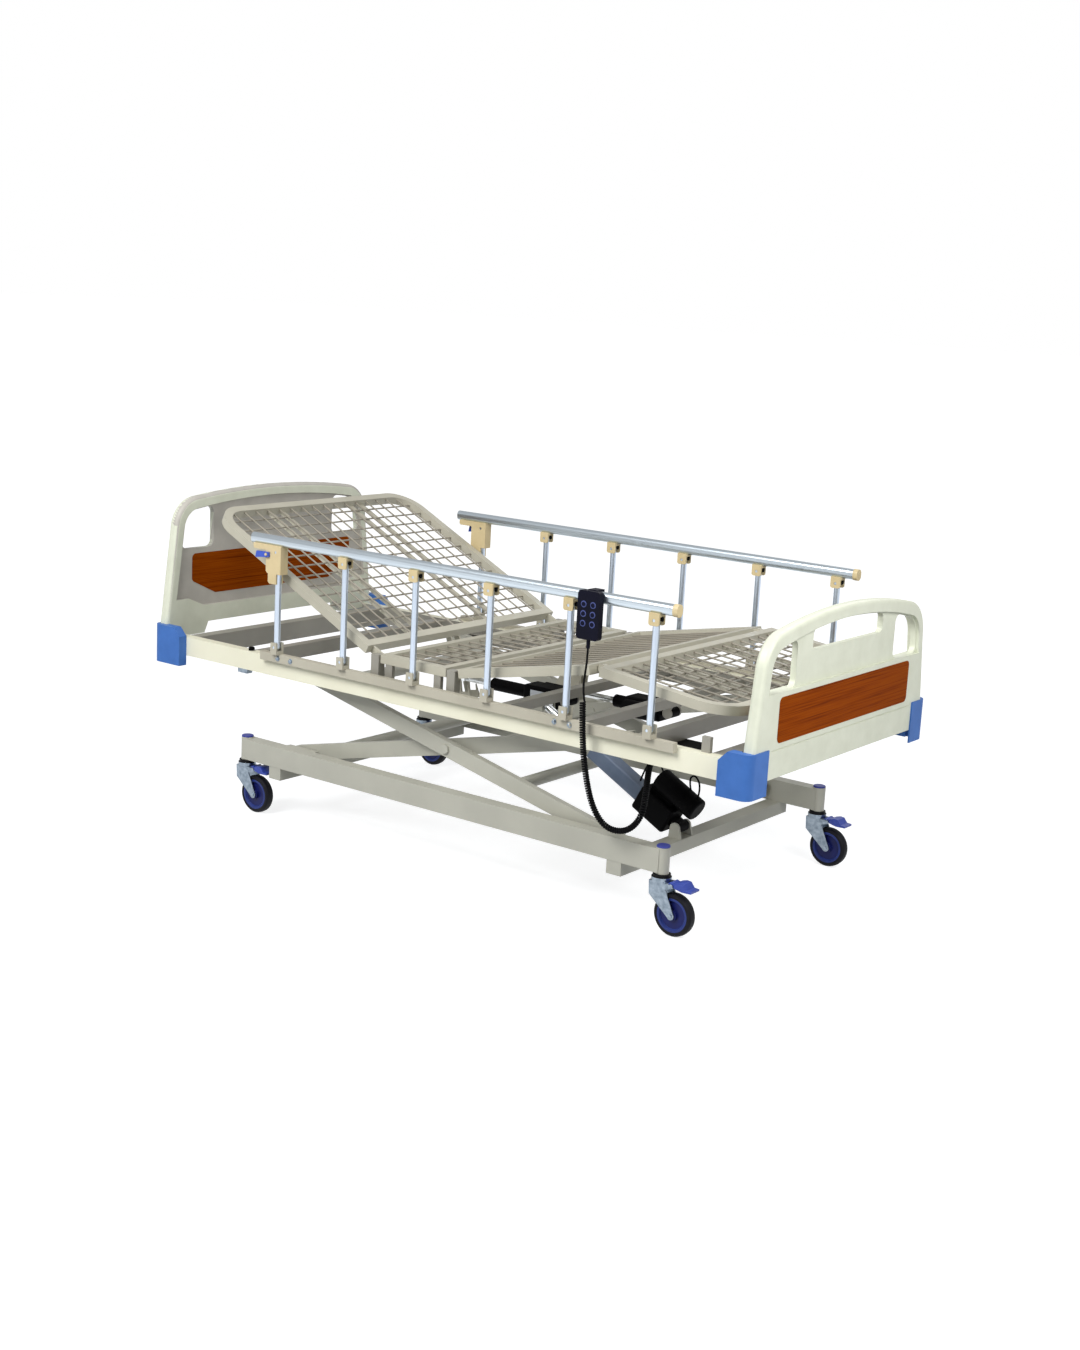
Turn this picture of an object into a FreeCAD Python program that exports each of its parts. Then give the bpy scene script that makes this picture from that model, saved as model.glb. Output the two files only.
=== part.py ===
import FreeCAD, Part
import math
import os

# Electric hospital bed. X runs to the foot end, Y to the far side, Z up, with
# the origin on the floor under the middle of the bed. Lengths are millimetres.

# Whole bed
head_board_face = 1035.0
foot_board_face = 962.0
board_thickness = 35.0
board_half_width = 457.0
pin_clearance = 0.1
running_gap = 0.3
drain_hole = 8.0

# Base frame and castors
base_post_x = 735.0
base_rail_y = 401.0
base_rail_width = 40.0
base_rail_height = 62.0
base_rail_bottom = 157.0
base_wall = 2.5
base_post_diameter = 36.0
base_post_bore = 22.0
base_post_drop = 3.0
base_post_rise = 3.0
cap_height = 5.0
cap_plug = 10.0
cross_tube_x = 602.0
cross_tube_width = 45.0
cross_tube_height = 36.0
castor_trail = 45.0
wheel_diameter = 112.0
wheel_width = 28.0
tyre_depth = 12.0
hub_radius = 14.0
fork_gap = 34.0
fork_sheet = 3.5
fork_head_radius = 26.0
seal_height = 7.5
swivel_head_height = 12.0
axle_diameter = 10.0
stem_height = 45.0
pedal_reach = 100.0
pedal_width = 40.0
pedal_pin_x = 38.0
pedal_pin_drop = 19.0
pedal_pin_diameter = 6.0

# Scissor lift
lift_foot_x = 558.0
lift_low_z = 194.0
lift_high_z = 450.0
lift_arm_length = 1154.0
arm_height = 44.0
arm_width = 20.0
arm_wall = 2.5
outer_arm_y = 360.0
inner_arm_y = 330.0
lift_pin_diameter = 16.0
bush_diameter = 28.0
roller_diameter = 30.0
roller_width = 16.0
channel_wall = 3.0
channel_length = 112.0
arm_tube_diameter = 34.0
outer_tube_from_pin = 330.0
crank_tube_x = 140.0
crank_tube_z = 355.0

# Lift actuator
lift_drive_y = -110.0
lift_drive_x = 600.0
lift_drive_z = 183.0
lift_eye_x = 130.0
lift_eye_z = 432.0
lift_eye_play = 3.5
drive_pin_diameter = 12.0
drive_eye_diameter = 30.0
drive_eye_width = 40.0
lug_thickness = 6.0
lift_housing_start = 24.0
lift_housing_length = 115.0
lift_housing_size = 74.0
lift_case_size = 46.0
lift_case_end = 330.0
lift_rod_diameter = 22.0
lift_rod_tail = 180.0
lift_motor_diameter = 64.0
lift_motor_length = 140.0
lift_motor_offset = 70.0

# Deck frame
deck_rail_outer_y = 441.0
deck_rail_width = 30.0
deck_rail_bottom = 434.0
deck_rail_height = 56.0
deck_wall = 2.5
deck_tube_width = 30.0
deck_tube_height = 40.0
slim_tube_height = 26.0
end_tube_width = 40.0
end_tube_inset = 60.0
drive_tube_x = 200.0
knee_tube_x = 445.0
box_tube_x = 635.0
back_rest_tube_x = -700.0
bearing_length = 28.0
bearing_top = 557.0
section_pin_diameter = 14.0

# Boards and bumpers
head_board_peak = 915.0
head_board_bottom = 475.0
head_board_cutout = 34.0
head_board_crown = 31.0
head_ledge_z = 587.0
head_ledge_dip = 26.0
head_handle_bottom = 738.0
head_inlay_top = 721.0
head_inlay_height = 127.0
head_inlay_chamfer = 95.0
foot_board_peak = 832.0
foot_board_bottom = 441.0
foot_board_cutout = 0.0
foot_board_crown = 48.0
foot_ledge_z = 652.0
foot_handle_bottom = 652.0
foot_inlay_top = 640.0
foot_inlay_height = 113.0
foot_inlay_chamfer = 0.0
foot_slot_bottom = 734.0
foot_slot_half_width = 185.0
foot_groove_z = 510.0
board_panel = 16.0
board_rim = 32.0
board_lean = 0.125
board_corner = 95.0
board_round = 12.0
board_notch_half_width = 300.0
handle_start = 260.0
handle_round = 20.0
handle_rim = 36.0
inlay_thickness = 2.0
inlay_half_width = 345.0
inlay_round = 14.0
bumper_side = 13.0
bumper_end = 4.0
bumper_wrap = 87.0
bumper_length_head = 114.0
bumper_length_foot = 89.0
bumper_bottom = 405.0
bumper_height = 113.0
bumper_round = 26.0
bumper_chamfer = 26.0

# Mattress sections
section_half_width = 425.0
section_bar = 25.0
section_top = 560.0
section_wall = 2.0
wire_diameter = 5.0
wire_pitch = 48.0
stiffener_size = 16.0
back_pivot_x = -218.0
pivot_z = 545.0
back_gap = 40.0
back_length = 700.0
back_corner = 95.0
back_rest_angle = 26.0
back_mid_angle = 35.0
seat_start_x = -202.0
seat_length = 233.0
thigh_pivot_x = 52.0
thigh_gap = 22.0
thigh_length = 430.0
thigh_rest_angle = 10.9
thigh_mid_angle = 15.5
knee_gap = 15.0
leg_length = 385.0
leg_corner = 100.0
leg_ratio = 1.58
lug_inset = 27.0

# Back and knee actuators
back_drive_y = -40.0
back_drive_z = 438.0
knee_drive_y = 110.0
knee_drive_z = 425.0
drive_housing_length = 120.0
drive_housing_width = 66.0
drive_housing_height = 56.0
drive_case_diameter = 36.0
drive_case_length = 130.0
knee_case_length = 50.0
drive_rod_diameter = 18.0
drive_motor_diameter = 48.0
crank_spacing = 30.0
crank_slot_play = 6.5
knee_slot_play = 2.5

# Side rails
rail_post_y = 457.0
rail_post_first_x = -567.0
rail_post_pitch = 254.8
rail_post_count = 6
rail_post_diameter = 18.0
rail_pivot_z = 525.0
rail_swing = 272.0
rail_pin_diameter = 8.0
clevis_wall = 5.0
clevis_length = 24.0
clevis_side_gap = 0.4
knuckle_length = 30.0
top_tube_height = 30.0
top_tube_width = 24.0
top_tube_wall = 2.0
top_tube_start = -667.0
top_tube_end = 757.0
mount_bar_start = -632.0
mount_bar_end = 779.0
mount_bar_height = 25.0
mount_bar_width = 18.0
mount_bar_bottom = 480.0
latch_arm_reach = 87.0
latch_arm_bottom = 800.0
latch_body_left = 37.0
latch_body_right = 21.0
latch_body_bottom = 735.0
latch_bottom = 706.0
lever_pivot_inset = 30.0
lever_pivot_drop = 8.0
lever_reach = 43.0
lever_height = 18.0
lever_thickness = 6.0

# Handset, its cord and the control box
handset_x = 525.0
handset_width = 66.0
handset_height = 122.0
handset_thickness = 18.0
handset_top = 845.0
hook_thickness = 3.0
hook_gap = 0.6
button_diameter = 11.0
button_rise = 2.0
button_depth = 4.0
cord_diameter = 7.0
coil_diameter = 17.0
control_box_length = 150.0
control_box_width = 90.0
control_box_height = 55.0
control_box_y = -235.0

os.makedirs("parts", exist_ok=True)
V = FreeCAD.Vector
across = V(0, 1, 0)

# X below is measured from the middle of the base; every piece is moved as it is
# saved, so that the origin is under the middle of the whole length
middle_x = (foot_board_face - head_board_face) / 2


def block(x0, x1, y0, y1, z0, z1):
    """A box between two corners, given in any order."""
    low = V(min(x0, x1), min(y0, y1), min(z0, z1))
    return Part.makeBox(abs(x1 - x0), abs(y1 - y0), abs(z1 - z0), low)


def rod(start, end, diameter):
    """A round bar from one point to another."""
    line = V(*end) - V(*start)
    return Part.makeCylinder(diameter / 2, line.Length, V(*start), line)


def pin(x, z, y0, y1, diameter):
    """A round bar along Y."""
    return rod((x, min(y0, y1), z), (x, max(y0, y1), z), diameter)


def profile(points, y0, y1):
    """A plate drawn in X and Z and given a thickness along Y."""
    corners = [V(x, min(y0, y1), z) for x, z in points]
    face = Part.Face(Part.makePolygon(corners + corners[:1]))
    return face.extrude(V(0, abs(y1 - y0), 0))


def turn(shape, x, z, degrees):
    """The shape turned about an axis along Y; a plus angle lifts the head end."""
    done = shape.copy()
    done.rotate(V(x, 0, z), across, degrees)
    return done


def mirrored(shape):
    """The same shape on the other side of the bed."""
    return shape.mirror(V(0, 0, 0), across)


def box_tube(x0, x1, y0, y1, z0, z1, wall, along, closed=False):
    """A box-section tube; a closed one has end plates and a drain hole."""
    outer = block(x0, x1, y0, y1, z0, z1)
    ex = wall if along == "y" or closed else -1.0
    ey = wall if along == "x" or closed else -1.0
    inner = block(x0 + ex, x1 - ex, y0 + ey, y1 - ey, z0 + wall, z1 - wall)
    tube = outer.cut(inner)
    if closed:
        middle = V((x0 + x1) / 2, (y0 + y1) / 2, z0 - 1)
        tube = tube.cut(Part.makeCylinder(drain_hole / 2, wall + 2, middle))
    return tube


def joined(shapes):
    """All shapes melted into one solid, as a weld does."""
    body = shapes[0].multiFuse(shapes[1:]).removeSplitter()
    return body


def save(node, solids):
    """Writes one piece, or the pieces of one node, in the whole bed's frame."""
    shape = solids[0] if len(solids) == 1 else Part.makeCompound(solids)
    shape.translated(V(-middle_x, 0, 0)).exportStep("parts/" + node + ".step")


# Places worked out from the sizes above
base_rail_top = base_rail_bottom + base_rail_height
base_rail_inner = base_rail_y - base_rail_width / 2
base_rail_outer = base_rail_y + base_rail_width / 2
base_post_bottom = base_rail_bottom - base_post_drop
base_post_top = base_rail_top + base_post_rise
deck_rail_inner = deck_rail_outer_y - deck_rail_width
deck_rail_top = deck_rail_bottom + deck_rail_height
arm_rise = lift_high_z - lift_low_z
arm_angle = math.degrees(math.asin(arm_rise / lift_arm_length))
arm_run = math.sqrt(lift_arm_length ** 2 - arm_rise ** 2)
lift_head_x = lift_foot_x - arm_run
pin_hole = 2 * pin_clearance
section_bottom = section_top - section_bar
wheel_radius = wheel_diameter / 2


def roller_channel(x, z, inner_y, web_y, side):
    """A C channel, open towards the arms, that the rollers run in."""
    half = roller_diameter / 2 + running_gap
    x0 = x - channel_length / 2
    x1 = x + channel_length / 2
    outer = block(x0, x1, side * inner_y, side * web_y, z - half - channel_wall, z + half + channel_wall)
    hollow = block(x0 - 1, x1 + 1, side * (inner_y - 1), side * (web_y - channel_wall), z - half, z + half)
    return outer.cut(hollow)


def lug_pair(x, z, y, gap, root):
    """Two plates with a pin across them; root is the outline that is welded on."""
    pieces = []
    half = gap / 2
    for low in (y - half - lug_thickness, y + half):
        plate = profile(root, low, low + lug_thickness)
        pieces.append(plate.fuse(pin(x, z, low, low + lug_thickness, drive_eye_diameter)))
    pieces.append(pin(x, z, y - half - lug_thickness, y + half + lug_thickness, drive_pin_diameter))
    return pieces


# Base frame: two box-section rails, a round castor post at each end of both, and
# two cross tubes welded under the rails
lug_gap = drive_eye_width + 8.0
rollers_low_inner = inner_arm_y + arm_width / 2 + 8.0
base_pieces = []
for side in (-1, 1):
    rail = box_tube(
        -base_post_x,
        base_post_x,
        side * base_rail_y - base_rail_width / 2,
        side * base_rail_y + base_rail_width / 2,
        base_rail_bottom,
        base_rail_top,
        base_wall,
        "x",
    )
    for end in (-1, 1):
        foot = V(end * base_post_x, side * base_rail_y, base_post_bottom)
        post = Part.makeCylinder(base_post_diameter / 2, base_post_top - base_post_bottom, foot)
        rail = rail.fuse(post)
    for end in (-1, 1):
        foot = V(end * base_post_x, side * base_rail_y, base_post_bottom - 1)
        rail = rail.cut(Part.makeCylinder(base_post_bore / 2, base_post_top - base_post_bottom + 2, foot))
    base_pieces.append(rail)
    base_pieces.append(pin(lift_foot_x, lift_low_z, side * base_rail_inner, side * (outer_arm_y - 15), lift_pin_diameter))
    travel_x = lift_head_x + 13
    base_pieces.append(roller_channel(travel_x, lift_low_z, rollers_low_inner, base_rail_inner, side))
for end in (-1, 1):
    middle = end * cross_tube_x
    base_pieces.append(
        box_tube(
            middle - cross_tube_width / 2,
            middle + cross_tube_width / 2,
            -base_rail_outer + 1,
            base_rail_outer - 1,
            base_rail_bottom - cross_tube_height,
            base_rail_bottom,
            base_wall,
            "y",
            closed=True,
        )
    )
lug_root = [
    (lift_drive_x - 15, lift_drive_z),
    (cross_tube_x - 20, base_rail_bottom),
    (cross_tube_x + 20, base_rail_bottom),
    (lift_drive_x + 15, lift_drive_z),
]
base_pieces += lug_pair(lift_drive_x, lift_drive_z, lift_drive_y, lug_gap, lug_root)
base_frame = joined(base_pieces)
save("base_frame", [base_frame])

# Blue plastic caps on the four posts
caps = []
for side in (-1, 1):
    for end in (-1, 1):
        seat = V(end * base_post_x, side * base_rail_y, base_post_top)
        cap = Part.makeCylinder(base_post_diameter / 2 - 0.5, cap_height, seat)
        cap = cap.makeFillet(2.5, [cap.Edges[0]])
        plug = Part.makeCylinder(base_post_bore / 2, cap_plug, seat - V(0, 0, cap_plug))
        caps.append(cap.fuse(plug))
save("base_caps", caps)


def castor(name, cx, cy):
    """One braked swivel castor: pressed fork, wheel with tyre, and brake pedal."""
    head_top = base_post_bottom - running_gap
    seal_base = head_top - seal_height
    head_base = seal_base - swivel_head_height
    half = fork_gap / 2
    axle_x = cx + castor_trail
    axle_z = wheel_radius
    pedal_x = cx + pedal_pin_x
    pedal_z = head_top - pedal_pin_drop
    outline = [
        (cx - 24, head_base + 2),
        (pedal_x + 8, head_base + 2),
        (pedal_x + 8, pedal_z - 7),
        (pedal_x - 12, pedal_z - 14),
        (axle_x + 8.5, axle_z + 5),
        (axle_x - 8.5, axle_z - 5),
        (cx - 22, head_base - 34),
    ]
    pieces = [Part.makeCylinder(fork_head_radius, swivel_head_height, V(cx, cy, head_base))]
    for side in (-1, 1):
        inner = cy + side * half
        outer = cy + side * (half + fork_sheet)
        pieces.append(profile(outline, inner, outer))
        pieces.append(pin(axle_x, axle_z, inner, outer, 20.0))
    bridge_end = cx + 24
    pieces.append(block(cx - 24, bridge_end, cy - half - fork_sheet, cy + half + fork_sheet, head_base - 2, head_base + 2))
    overhang = half + fork_sheet + 2.5
    pieces.append(pin(axle_x, axle_z, cy - overhang, cy + overhang, axle_diameter))
    pieces.append(pin(pedal_x, pedal_z, cy - half - 1, cy + half + 1, pedal_pin_diameter))
    pieces.append(Part.makeCylinder(base_post_bore / 2 - pin_clearance, stem_height + seal_height, V(cx, cy, seal_base)))
    fork = joined(pieces)
    seal = Part.makeCylinder(fork_head_radius - 3, seal_height, V(cx, cy, seal_base))
    seal = seal.cut(Part.makeCylinder(base_post_bore / 2 - pin_clearance, seal_height, V(cx, cy, seal_base)))
    save("castor_fork_" + name, [fork, seal])

    core_radius = wheel_radius - tyre_depth
    hole = axle_diameter / 2 + pin_clearance
    w = wheel_width / 2
    core_profile = [
        (hole, half - 0.8),
        (hub_radius, half - 0.8),
        (hub_radius, w - 6),
        (core_radius - 9, w - 6),
        (core_radius - 6, w - 1),
        (core_radius, w - 1),
    ]
    outline = [V(axle_x + r, cy + y, axle_z) for r, y in core_profile]
    outline += [V(axle_x + r, cy - y, axle_z) for r, y in reversed(core_profile)]
    core = Part.Face(Part.makePolygon(outline + outline[:1])).revolve(V(axle_x, cy, axle_z), across, 360)
    tyre_profile = [
        (core_radius, w - 1),
        (core_radius + 3, w),
        (wheel_radius - 5, w),
        (wheel_radius - 1, w - 5),
        (wheel_radius, 0.0),
    ]
    outline = [V(axle_x + r, cy + y, axle_z) for r, y in tyre_profile]
    outline += [V(axle_x + r, cy - y, axle_z) for r, y in reversed(tyre_profile[:-1])]
    tyre = Part.Face(Part.makePolygon(outline + outline[:1])).revolve(V(axle_x, cy, axle_z), across, 360)
    save("castor_wheel_" + name, [core, tyre])

    tip = cx + pedal_reach
    blade = profile(
        [
            (pedal_x + 12, pedal_z - 5),
            (pedal_x + 12, pedal_z + 7),
            (pedal_x + 26, pedal_z + 11),
            (pedal_x + 38, pedal_z + 10),
            (tip - 14, pedal_z - 3),
            (tip, pedal_z - 4),
            (tip, pedal_z - 9),
            (pedal_x + 34, pedal_z - 10),
        ],
        cy - pedal_width / 2,
        cy + pedal_width / 2,
    )
    inside = half - 0.6
    neck = block(pedal_x, pedal_x + 16, cy - inside, cy + inside, pedal_z - 5, pedal_z + 5)
    pedal = blade.fuse(neck).fuse(pin(pedal_x, pedal_z, cy - inside, cy + inside, 14.0))
    bore = pin(pedal_x, pedal_z, cy - half, cy + half, pedal_pin_diameter + pin_hole)
    save("castor_pedal_" + name, [pedal.removeSplitter().cut(bore)])


castor("near_head", -base_post_x, -base_rail_y)
castor("near_foot", base_post_x, -base_rail_y)
castor("far_head", -base_post_x, base_rail_y)
castor("far_foot", base_post_x, base_rail_y)


def lift_arm(x, z, centre_y, mid_bore):
    """A box-section arm that runs from its pin towards the head end, laid level."""
    y0 = centre_y - arm_width / 2
    y1 = centre_y + arm_width / 2
    half = arm_height / 2
    arm = box_tube(x - lift_arm_length - 24, x + 24, y0, y1, z - half, z + half, arm_wall, "x")
    arm = arm.fuse(pin(x, z, y0, y1, bush_diameter))
    arm = arm.fuse(pin(x - lift_arm_length / 2, z, y0, y1, bush_diameter))
    arm = arm.fuse(pin(x - lift_arm_length, z, y0, y1, bush_diameter))
    arm = arm.cut(pin(x, z, y0 - 1, y1 + 1, lift_pin_diameter + pin_hole))
    if mid_bore:
        arm = arm.cut(pin(x - lift_arm_length / 2, z, y0 - 1, y1 + 1, lift_pin_diameter + pin_hole))
    return arm


# Outer arms: pinned to the base at the foot side, with rollers under the deck at
# the head side, and the middle bolts on which the inner arms turn
outer_pieces = []
for side in (-1, 1):
    far_pin = lift_foot_x - lift_arm_length
    mid_pin = lift_foot_x - lift_arm_length / 2
    face = outer_arm_y + arm_width / 2
    roller_face = deck_rail_inner - channel_wall - 2.0
    outer_pieces.append(lift_arm(lift_foot_x, lift_low_z, side * outer_arm_y, False))
    outer_pieces.append(pin(far_pin, lift_low_z, side * (face - 3), side * (roller_face - 2), 14.0))
    outer_pieces.append(
        pin(far_pin, lift_low_z, side * (roller_face - roller_width), side * roller_face, roller_diameter)
    )
    stub_end = inner_arm_y - arm_width / 2 - 4
    outer_pieces.append(pin(mid_pin, lift_low_z, side * (face + 6), side * stub_end, lift_pin_diameter))
    outer_pieces.append(pin(mid_pin, lift_low_z, side * face, side * (face + 6), 26.0))
tube_reach = outer_arm_y - arm_width / 2 + 1
outer_pieces.append(pin(lift_foot_x - outer_tube_from_pin, lift_low_z, -tube_reach, tube_reach, arm_tube_diameter))
head_tube_x = lift_foot_x - lift_arm_length + 120
outer_pieces.append(pin(head_tube_x, lift_low_z, -tube_reach, tube_reach, arm_tube_diameter))
save("lift_outer_arms", [turn(joined(outer_pieces), lift_foot_x, lift_low_z, arm_angle)])

# Inner arms: pinned to the deck at the foot side, with rollers in the base rails at
# the head side, and the crank that the lift actuator pushes
inner_pieces = []
for side in (-1, 1):
    far_pin = lift_foot_x - lift_arm_length
    face = inner_arm_y + arm_width / 2
    roller_face = base_rail_inner - channel_wall - 2.0
    inner_pieces.append(lift_arm(lift_foot_x, lift_high_z, side * inner_arm_y, True))
    inner_pieces.append(pin(far_pin, lift_high_z, side * (face - 3), side * (roller_face - 2), 14.0))
    inner_pieces.append(
        pin(far_pin, lift_high_z, side * (roller_face - roller_width), side * roller_face, roller_diameter)
    )
tube_reach = inner_arm_y - arm_width / 2 + 1
head_tube_x = lift_foot_x - lift_arm_length + 120
inner_pieces.append(pin(head_tube_x, lift_high_z, -tube_reach, tube_reach, arm_tube_diameter))
inner_level = turn(joined(inner_pieces), lift_foot_x, lift_high_z, -arm_angle)
crank_root = [
    (lift_eye_x - 15, lift_eye_z),
    (crank_tube_x - 17, crank_tube_z),
    (crank_tube_x + 17, crank_tube_z),
    (lift_eye_x + 15, lift_eye_z),
]
crank = [pin(crank_tube_x, crank_tube_z, -tube_reach, tube_reach, arm_tube_diameter)]
crank += lug_pair(lift_eye_x, lift_eye_z, lift_drive_y, lug_gap, crank_root)
save("lift_inner_arms", [joined([inner_level] + crank)])

# Lift actuator: gear housing, motor and outer case on the base, rod to the crank
drive_run = lift_drive_x - lift_eye_x
drive_rise = lift_eye_z - lift_drive_z
drive_angle = math.degrees(math.atan2(drive_rise, drive_run))
drive_length = math.hypot(drive_run, drive_rise)
y = lift_drive_y
half = drive_eye_width / 2
size = lift_housing_size / 2
x0 = lift_drive_x - lift_housing_start
x1 = x0 - lift_housing_length
housing = block(x0, x1, y - size, y + size, lift_drive_z - size, lift_drive_z + size)
housing = housing.makeFillet(8.0, [e for e in housing.Edges])
eye = pin(lift_drive_x, lift_drive_z, y - half, y + half, drive_eye_diameter)
eye = eye.fuse(block(lift_drive_x, x0 - 2, y - half, y + half, lift_drive_z - 11, lift_drive_z + 11))
case = block(
    x1 + 2,
    lift_drive_x - lift_case_end,
    y - lift_case_size / 2,
    y + lift_case_size / 2,
    lift_drive_z - lift_case_size / 2,
    lift_drive_z + lift_case_size / 2,
)
case = case.makeFillet(6.0, [e for e in case.Edges if abs(e.tangentAt(e.FirstParameter).x) > 0.9])
motor_start = lift_drive_x + 20.0
motor_z = lift_drive_z + lift_motor_offset
motor = rod((motor_start, y, motor_z), (motor_start - lift_motor_length, y, motor_z), lift_motor_diameter)
motor = motor.makeFillet(7.0, [e for e in motor.Edges if e.Closed and e.Curve.TypeId == "Part::GeomCircle"])
neck = block(x0 - 20, x1 + 20, y - 22, y + 22, lift_drive_z + size - 4, motor_z)
bore_start = lift_drive_x - lift_rod_tail + 40
bore = rod(
    (bore_start, y, lift_drive_z),
    (lift_drive_x - lift_case_end - 1, y, lift_drive_z),
    lift_rod_diameter + pin_hole,
)
hole = pin(lift_drive_x, lift_drive_z, y - half - 1, y + half + 1, drive_pin_diameter + pin_hole)
body = joined([housing, eye, case, motor, neck]).cut(bore).cut(hole)
save("lift_motor", [turn(body, lift_drive_x, lift_drive_z, drive_angle)])
eye_x = lift_drive_x - drive_length
big_hole = drive_pin_diameter + 2 * lift_eye_play
rod_body = rod((lift_drive_x - lift_rod_tail, y, lift_drive_z), (eye_x + 8, y, lift_drive_z), lift_rod_diameter)
rod_eye = pin(eye_x, lift_drive_z, y - half + 2, y + half - 2, big_hole + 14)
rod_body = rod_body.fuse(rod_eye).cut(pin(eye_x, lift_drive_z, y - half, y + half, big_hole))
save("lift_rod", [turn(rod_body, lift_drive_x, lift_drive_z, drive_angle)])

# Deck frame: side rails, end tubes and cross tubes, with the section bearings, the
# roller channels, the deck pins and the actuator lugs. The side rails stay whole tubes, and
# what is welded to them ends at their faces.
deck_rails = []
deck_pieces = []
for side in (-1, 1):
    deck_rails.append(
        box_tube(
            -head_board_face,
            foot_board_face,
            side * (deck_rail_outer_y - deck_rail_width / 2) - deck_rail_width / 2,
            side * (deck_rail_outer_y - deck_rail_width / 2) + deck_rail_width / 2,
            deck_rail_bottom,
            deck_rail_top,
            deck_wall,
            "x",
        )
    )
    roller_inner = outer_arm_y + arm_width / 2 + 6.0
    deck_pieces.append(roller_channel(lift_head_x + 13, lift_high_z, roller_inner, deck_rail_inner, side))
    boss_end = inner_arm_y + arm_width / 2 + 4
    deck_pieces.append(pin(lift_foot_x, lift_high_z, side * deck_rail_inner, side * boss_end, 30.0))
    pin_end = inner_arm_y - arm_width / 2 - 4
    deck_pieces.append(pin(lift_foot_x, lift_high_z, side * deck_rail_inner, side * pin_end, lift_pin_diameter))
    bearing_inner = section_half_width - lug_inset + lug_thickness + 1
    for pivot_x in (back_pivot_x, thigh_pivot_x):
        x0 = pivot_x - bearing_length / 2
        x1 = pivot_x + bearing_length / 2
        deck_pieces.append(block(x0, x1, side * bearing_inner, side * 430, deck_rail_top - 1, bearing_top))
        stub = section_half_width - lug_inset - 4
        deck_pieces.append(pin(pivot_x, pivot_z, side * stub, side * (bearing_inner + 2), section_pin_diameter))
    for support_x in (seat_start_x + 30, seat_start_x + seat_length - 30):
        deck_pieces.append(
            block(support_x - 12, support_x + 12, side * 412, side * 424, deck_rail_top - 1, section_bottom)
        )
    pad_x = thigh_pivot_x + thigh_gap + thigh_length + 2 * knee_gap + leg_length - 70
    deck_pieces.append(block(pad_x - 12, pad_x + 12, side * 412, side * 424, deck_rail_top - 1, section_bottom - 6))
tube_end = deck_rail_inner + 1
for x0 in (end_tube_inset - head_board_face, foot_board_face - end_tube_inset - end_tube_width):
    deck_pieces.append(
        box_tube(x0, x0 + end_tube_width, -tube_end, tube_end, deck_rail_bottom, deck_rail_top, deck_wall, "y", True)
    )
cross_low = deck_rail_bottom + 12
cross_top = cross_low + deck_tube_height
slim_low = cross_top - slim_tube_height
for middle, low in (
    (back_rest_tube_x, cross_low),
    (drive_tube_x, slim_low),
    (knee_tube_x, slim_low),
    (box_tube_x, cross_low),
):
    deck_pieces.append(
        box_tube(
            middle - deck_tube_width / 2,
            middle + deck_tube_width / 2,
            -tube_end,
            tube_end,
            low,
            cross_top,
            deck_wall,
            "y",
            True,
        )
    )
back_eye_x = drive_tube_x - deck_tube_width / 2 - 20
knee_eye_x = knee_tube_x - deck_tube_width / 2 - 20
for eye_x, eye_z, eye_y, tube_x in (
    (back_eye_x, back_drive_z, back_drive_y, drive_tube_x),
    (knee_eye_x, knee_drive_z, knee_drive_y, knee_tube_x),
):
    root = [
        (eye_x, eye_z - drive_eye_diameter / 2),
        (tube_x - deck_tube_width / 2 + 1, slim_low),
        (tube_x - deck_tube_width / 2 + 1, cross_top - 4),
        (eye_x, eye_z + drive_eye_diameter / 2),
    ]
    deck_pieces += lug_pair(eye_x, eye_z, eye_y, drive_eye_width, root)
deck_members = joined(deck_pieces).cut(Part.makeCompound(deck_rails)).Solids
save("deck_frame", deck_rails + deck_members)


def slab(points, x0, x1):
    """A plate drawn in Y and Z and given a thickness along X."""
    corners = [V(min(x0, x1), y, z) for y, z in points]
    face = Part.Face(Part.makePolygon(corners + corners[:1]))
    return face.extrude(V(abs(x1 - x0), 0, 0))


def rounded(plate, radius):
    """The plate with its edges along X rounded."""
    return plate.makeFillet(radius, [e for e in plate.Edges if abs(e.tangentAt(e.FirstParameter).x) > 0.9])


def board_outline(form, inset, x0, x1):
    """An end board's outline, brought in by inset, as a slab between two X planes."""
    peak, bottom, cutout, crown_drop = form
    low = bottom + inset
    top = peak - crown_drop - inset
    w = board_half_width - inset
    top_w = w - board_lean * (top - bottom)
    edges = [
        Part.LineSegment(V(x0, -w, low), V(x0, -top_w, top)).toShape(),
        Part.Arc(V(x0, -top_w, top), V(x0, 0, peak - inset), V(x0, top_w, top)).toShape(),
        Part.LineSegment(V(x0, top_w, top), V(x0, w, low)).toShape(),
    ]
    if cutout:
        notch = board_notch_half_width - inset
        step = cutout * 0.45
        under = [(w, low), (notch, low), (notch - step, low + cutout), (step - notch, low + cutout), (-notch, low), (-w, low)]
    else:
        under = [(w, low), (-w, low)]
    for (y0, z0), (y1, z1) in zip(under, under[1:]):
        edges.append(Part.LineSegment(V(x0, y0, z0), V(x0, y1, z1)).toShape())
    plate = Part.Face(Part.Wire(edges)).extrude(V(x1 - x0, 0, 0))
    corners = [e for e in plate.Edges if abs(e.CenterOfMass.z - top) < 1 and abs(e.tangentAt(e.FirstParameter).x) > 0.9]
    return plate.makeFillet(board_corner - inset, corners)


def inlay_plate(top, height, chamfer, x0, x1):
    """The wood-grain inlay: a rounded plate whose lower corners may be cut away."""
    w = inlay_half_width
    low = top - height
    if chamfer:
        sides = [(w, top), (w, top - height * 0.65), (w - chamfer, low), (chamfer - w, low), (-w, top - height * 0.65), (-w, top)]
    else:
        sides = [(w, top), (w, low), (-w, low), (-w, top)]
    return rounded(slab(sides, x0, x1), inlay_round)


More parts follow.
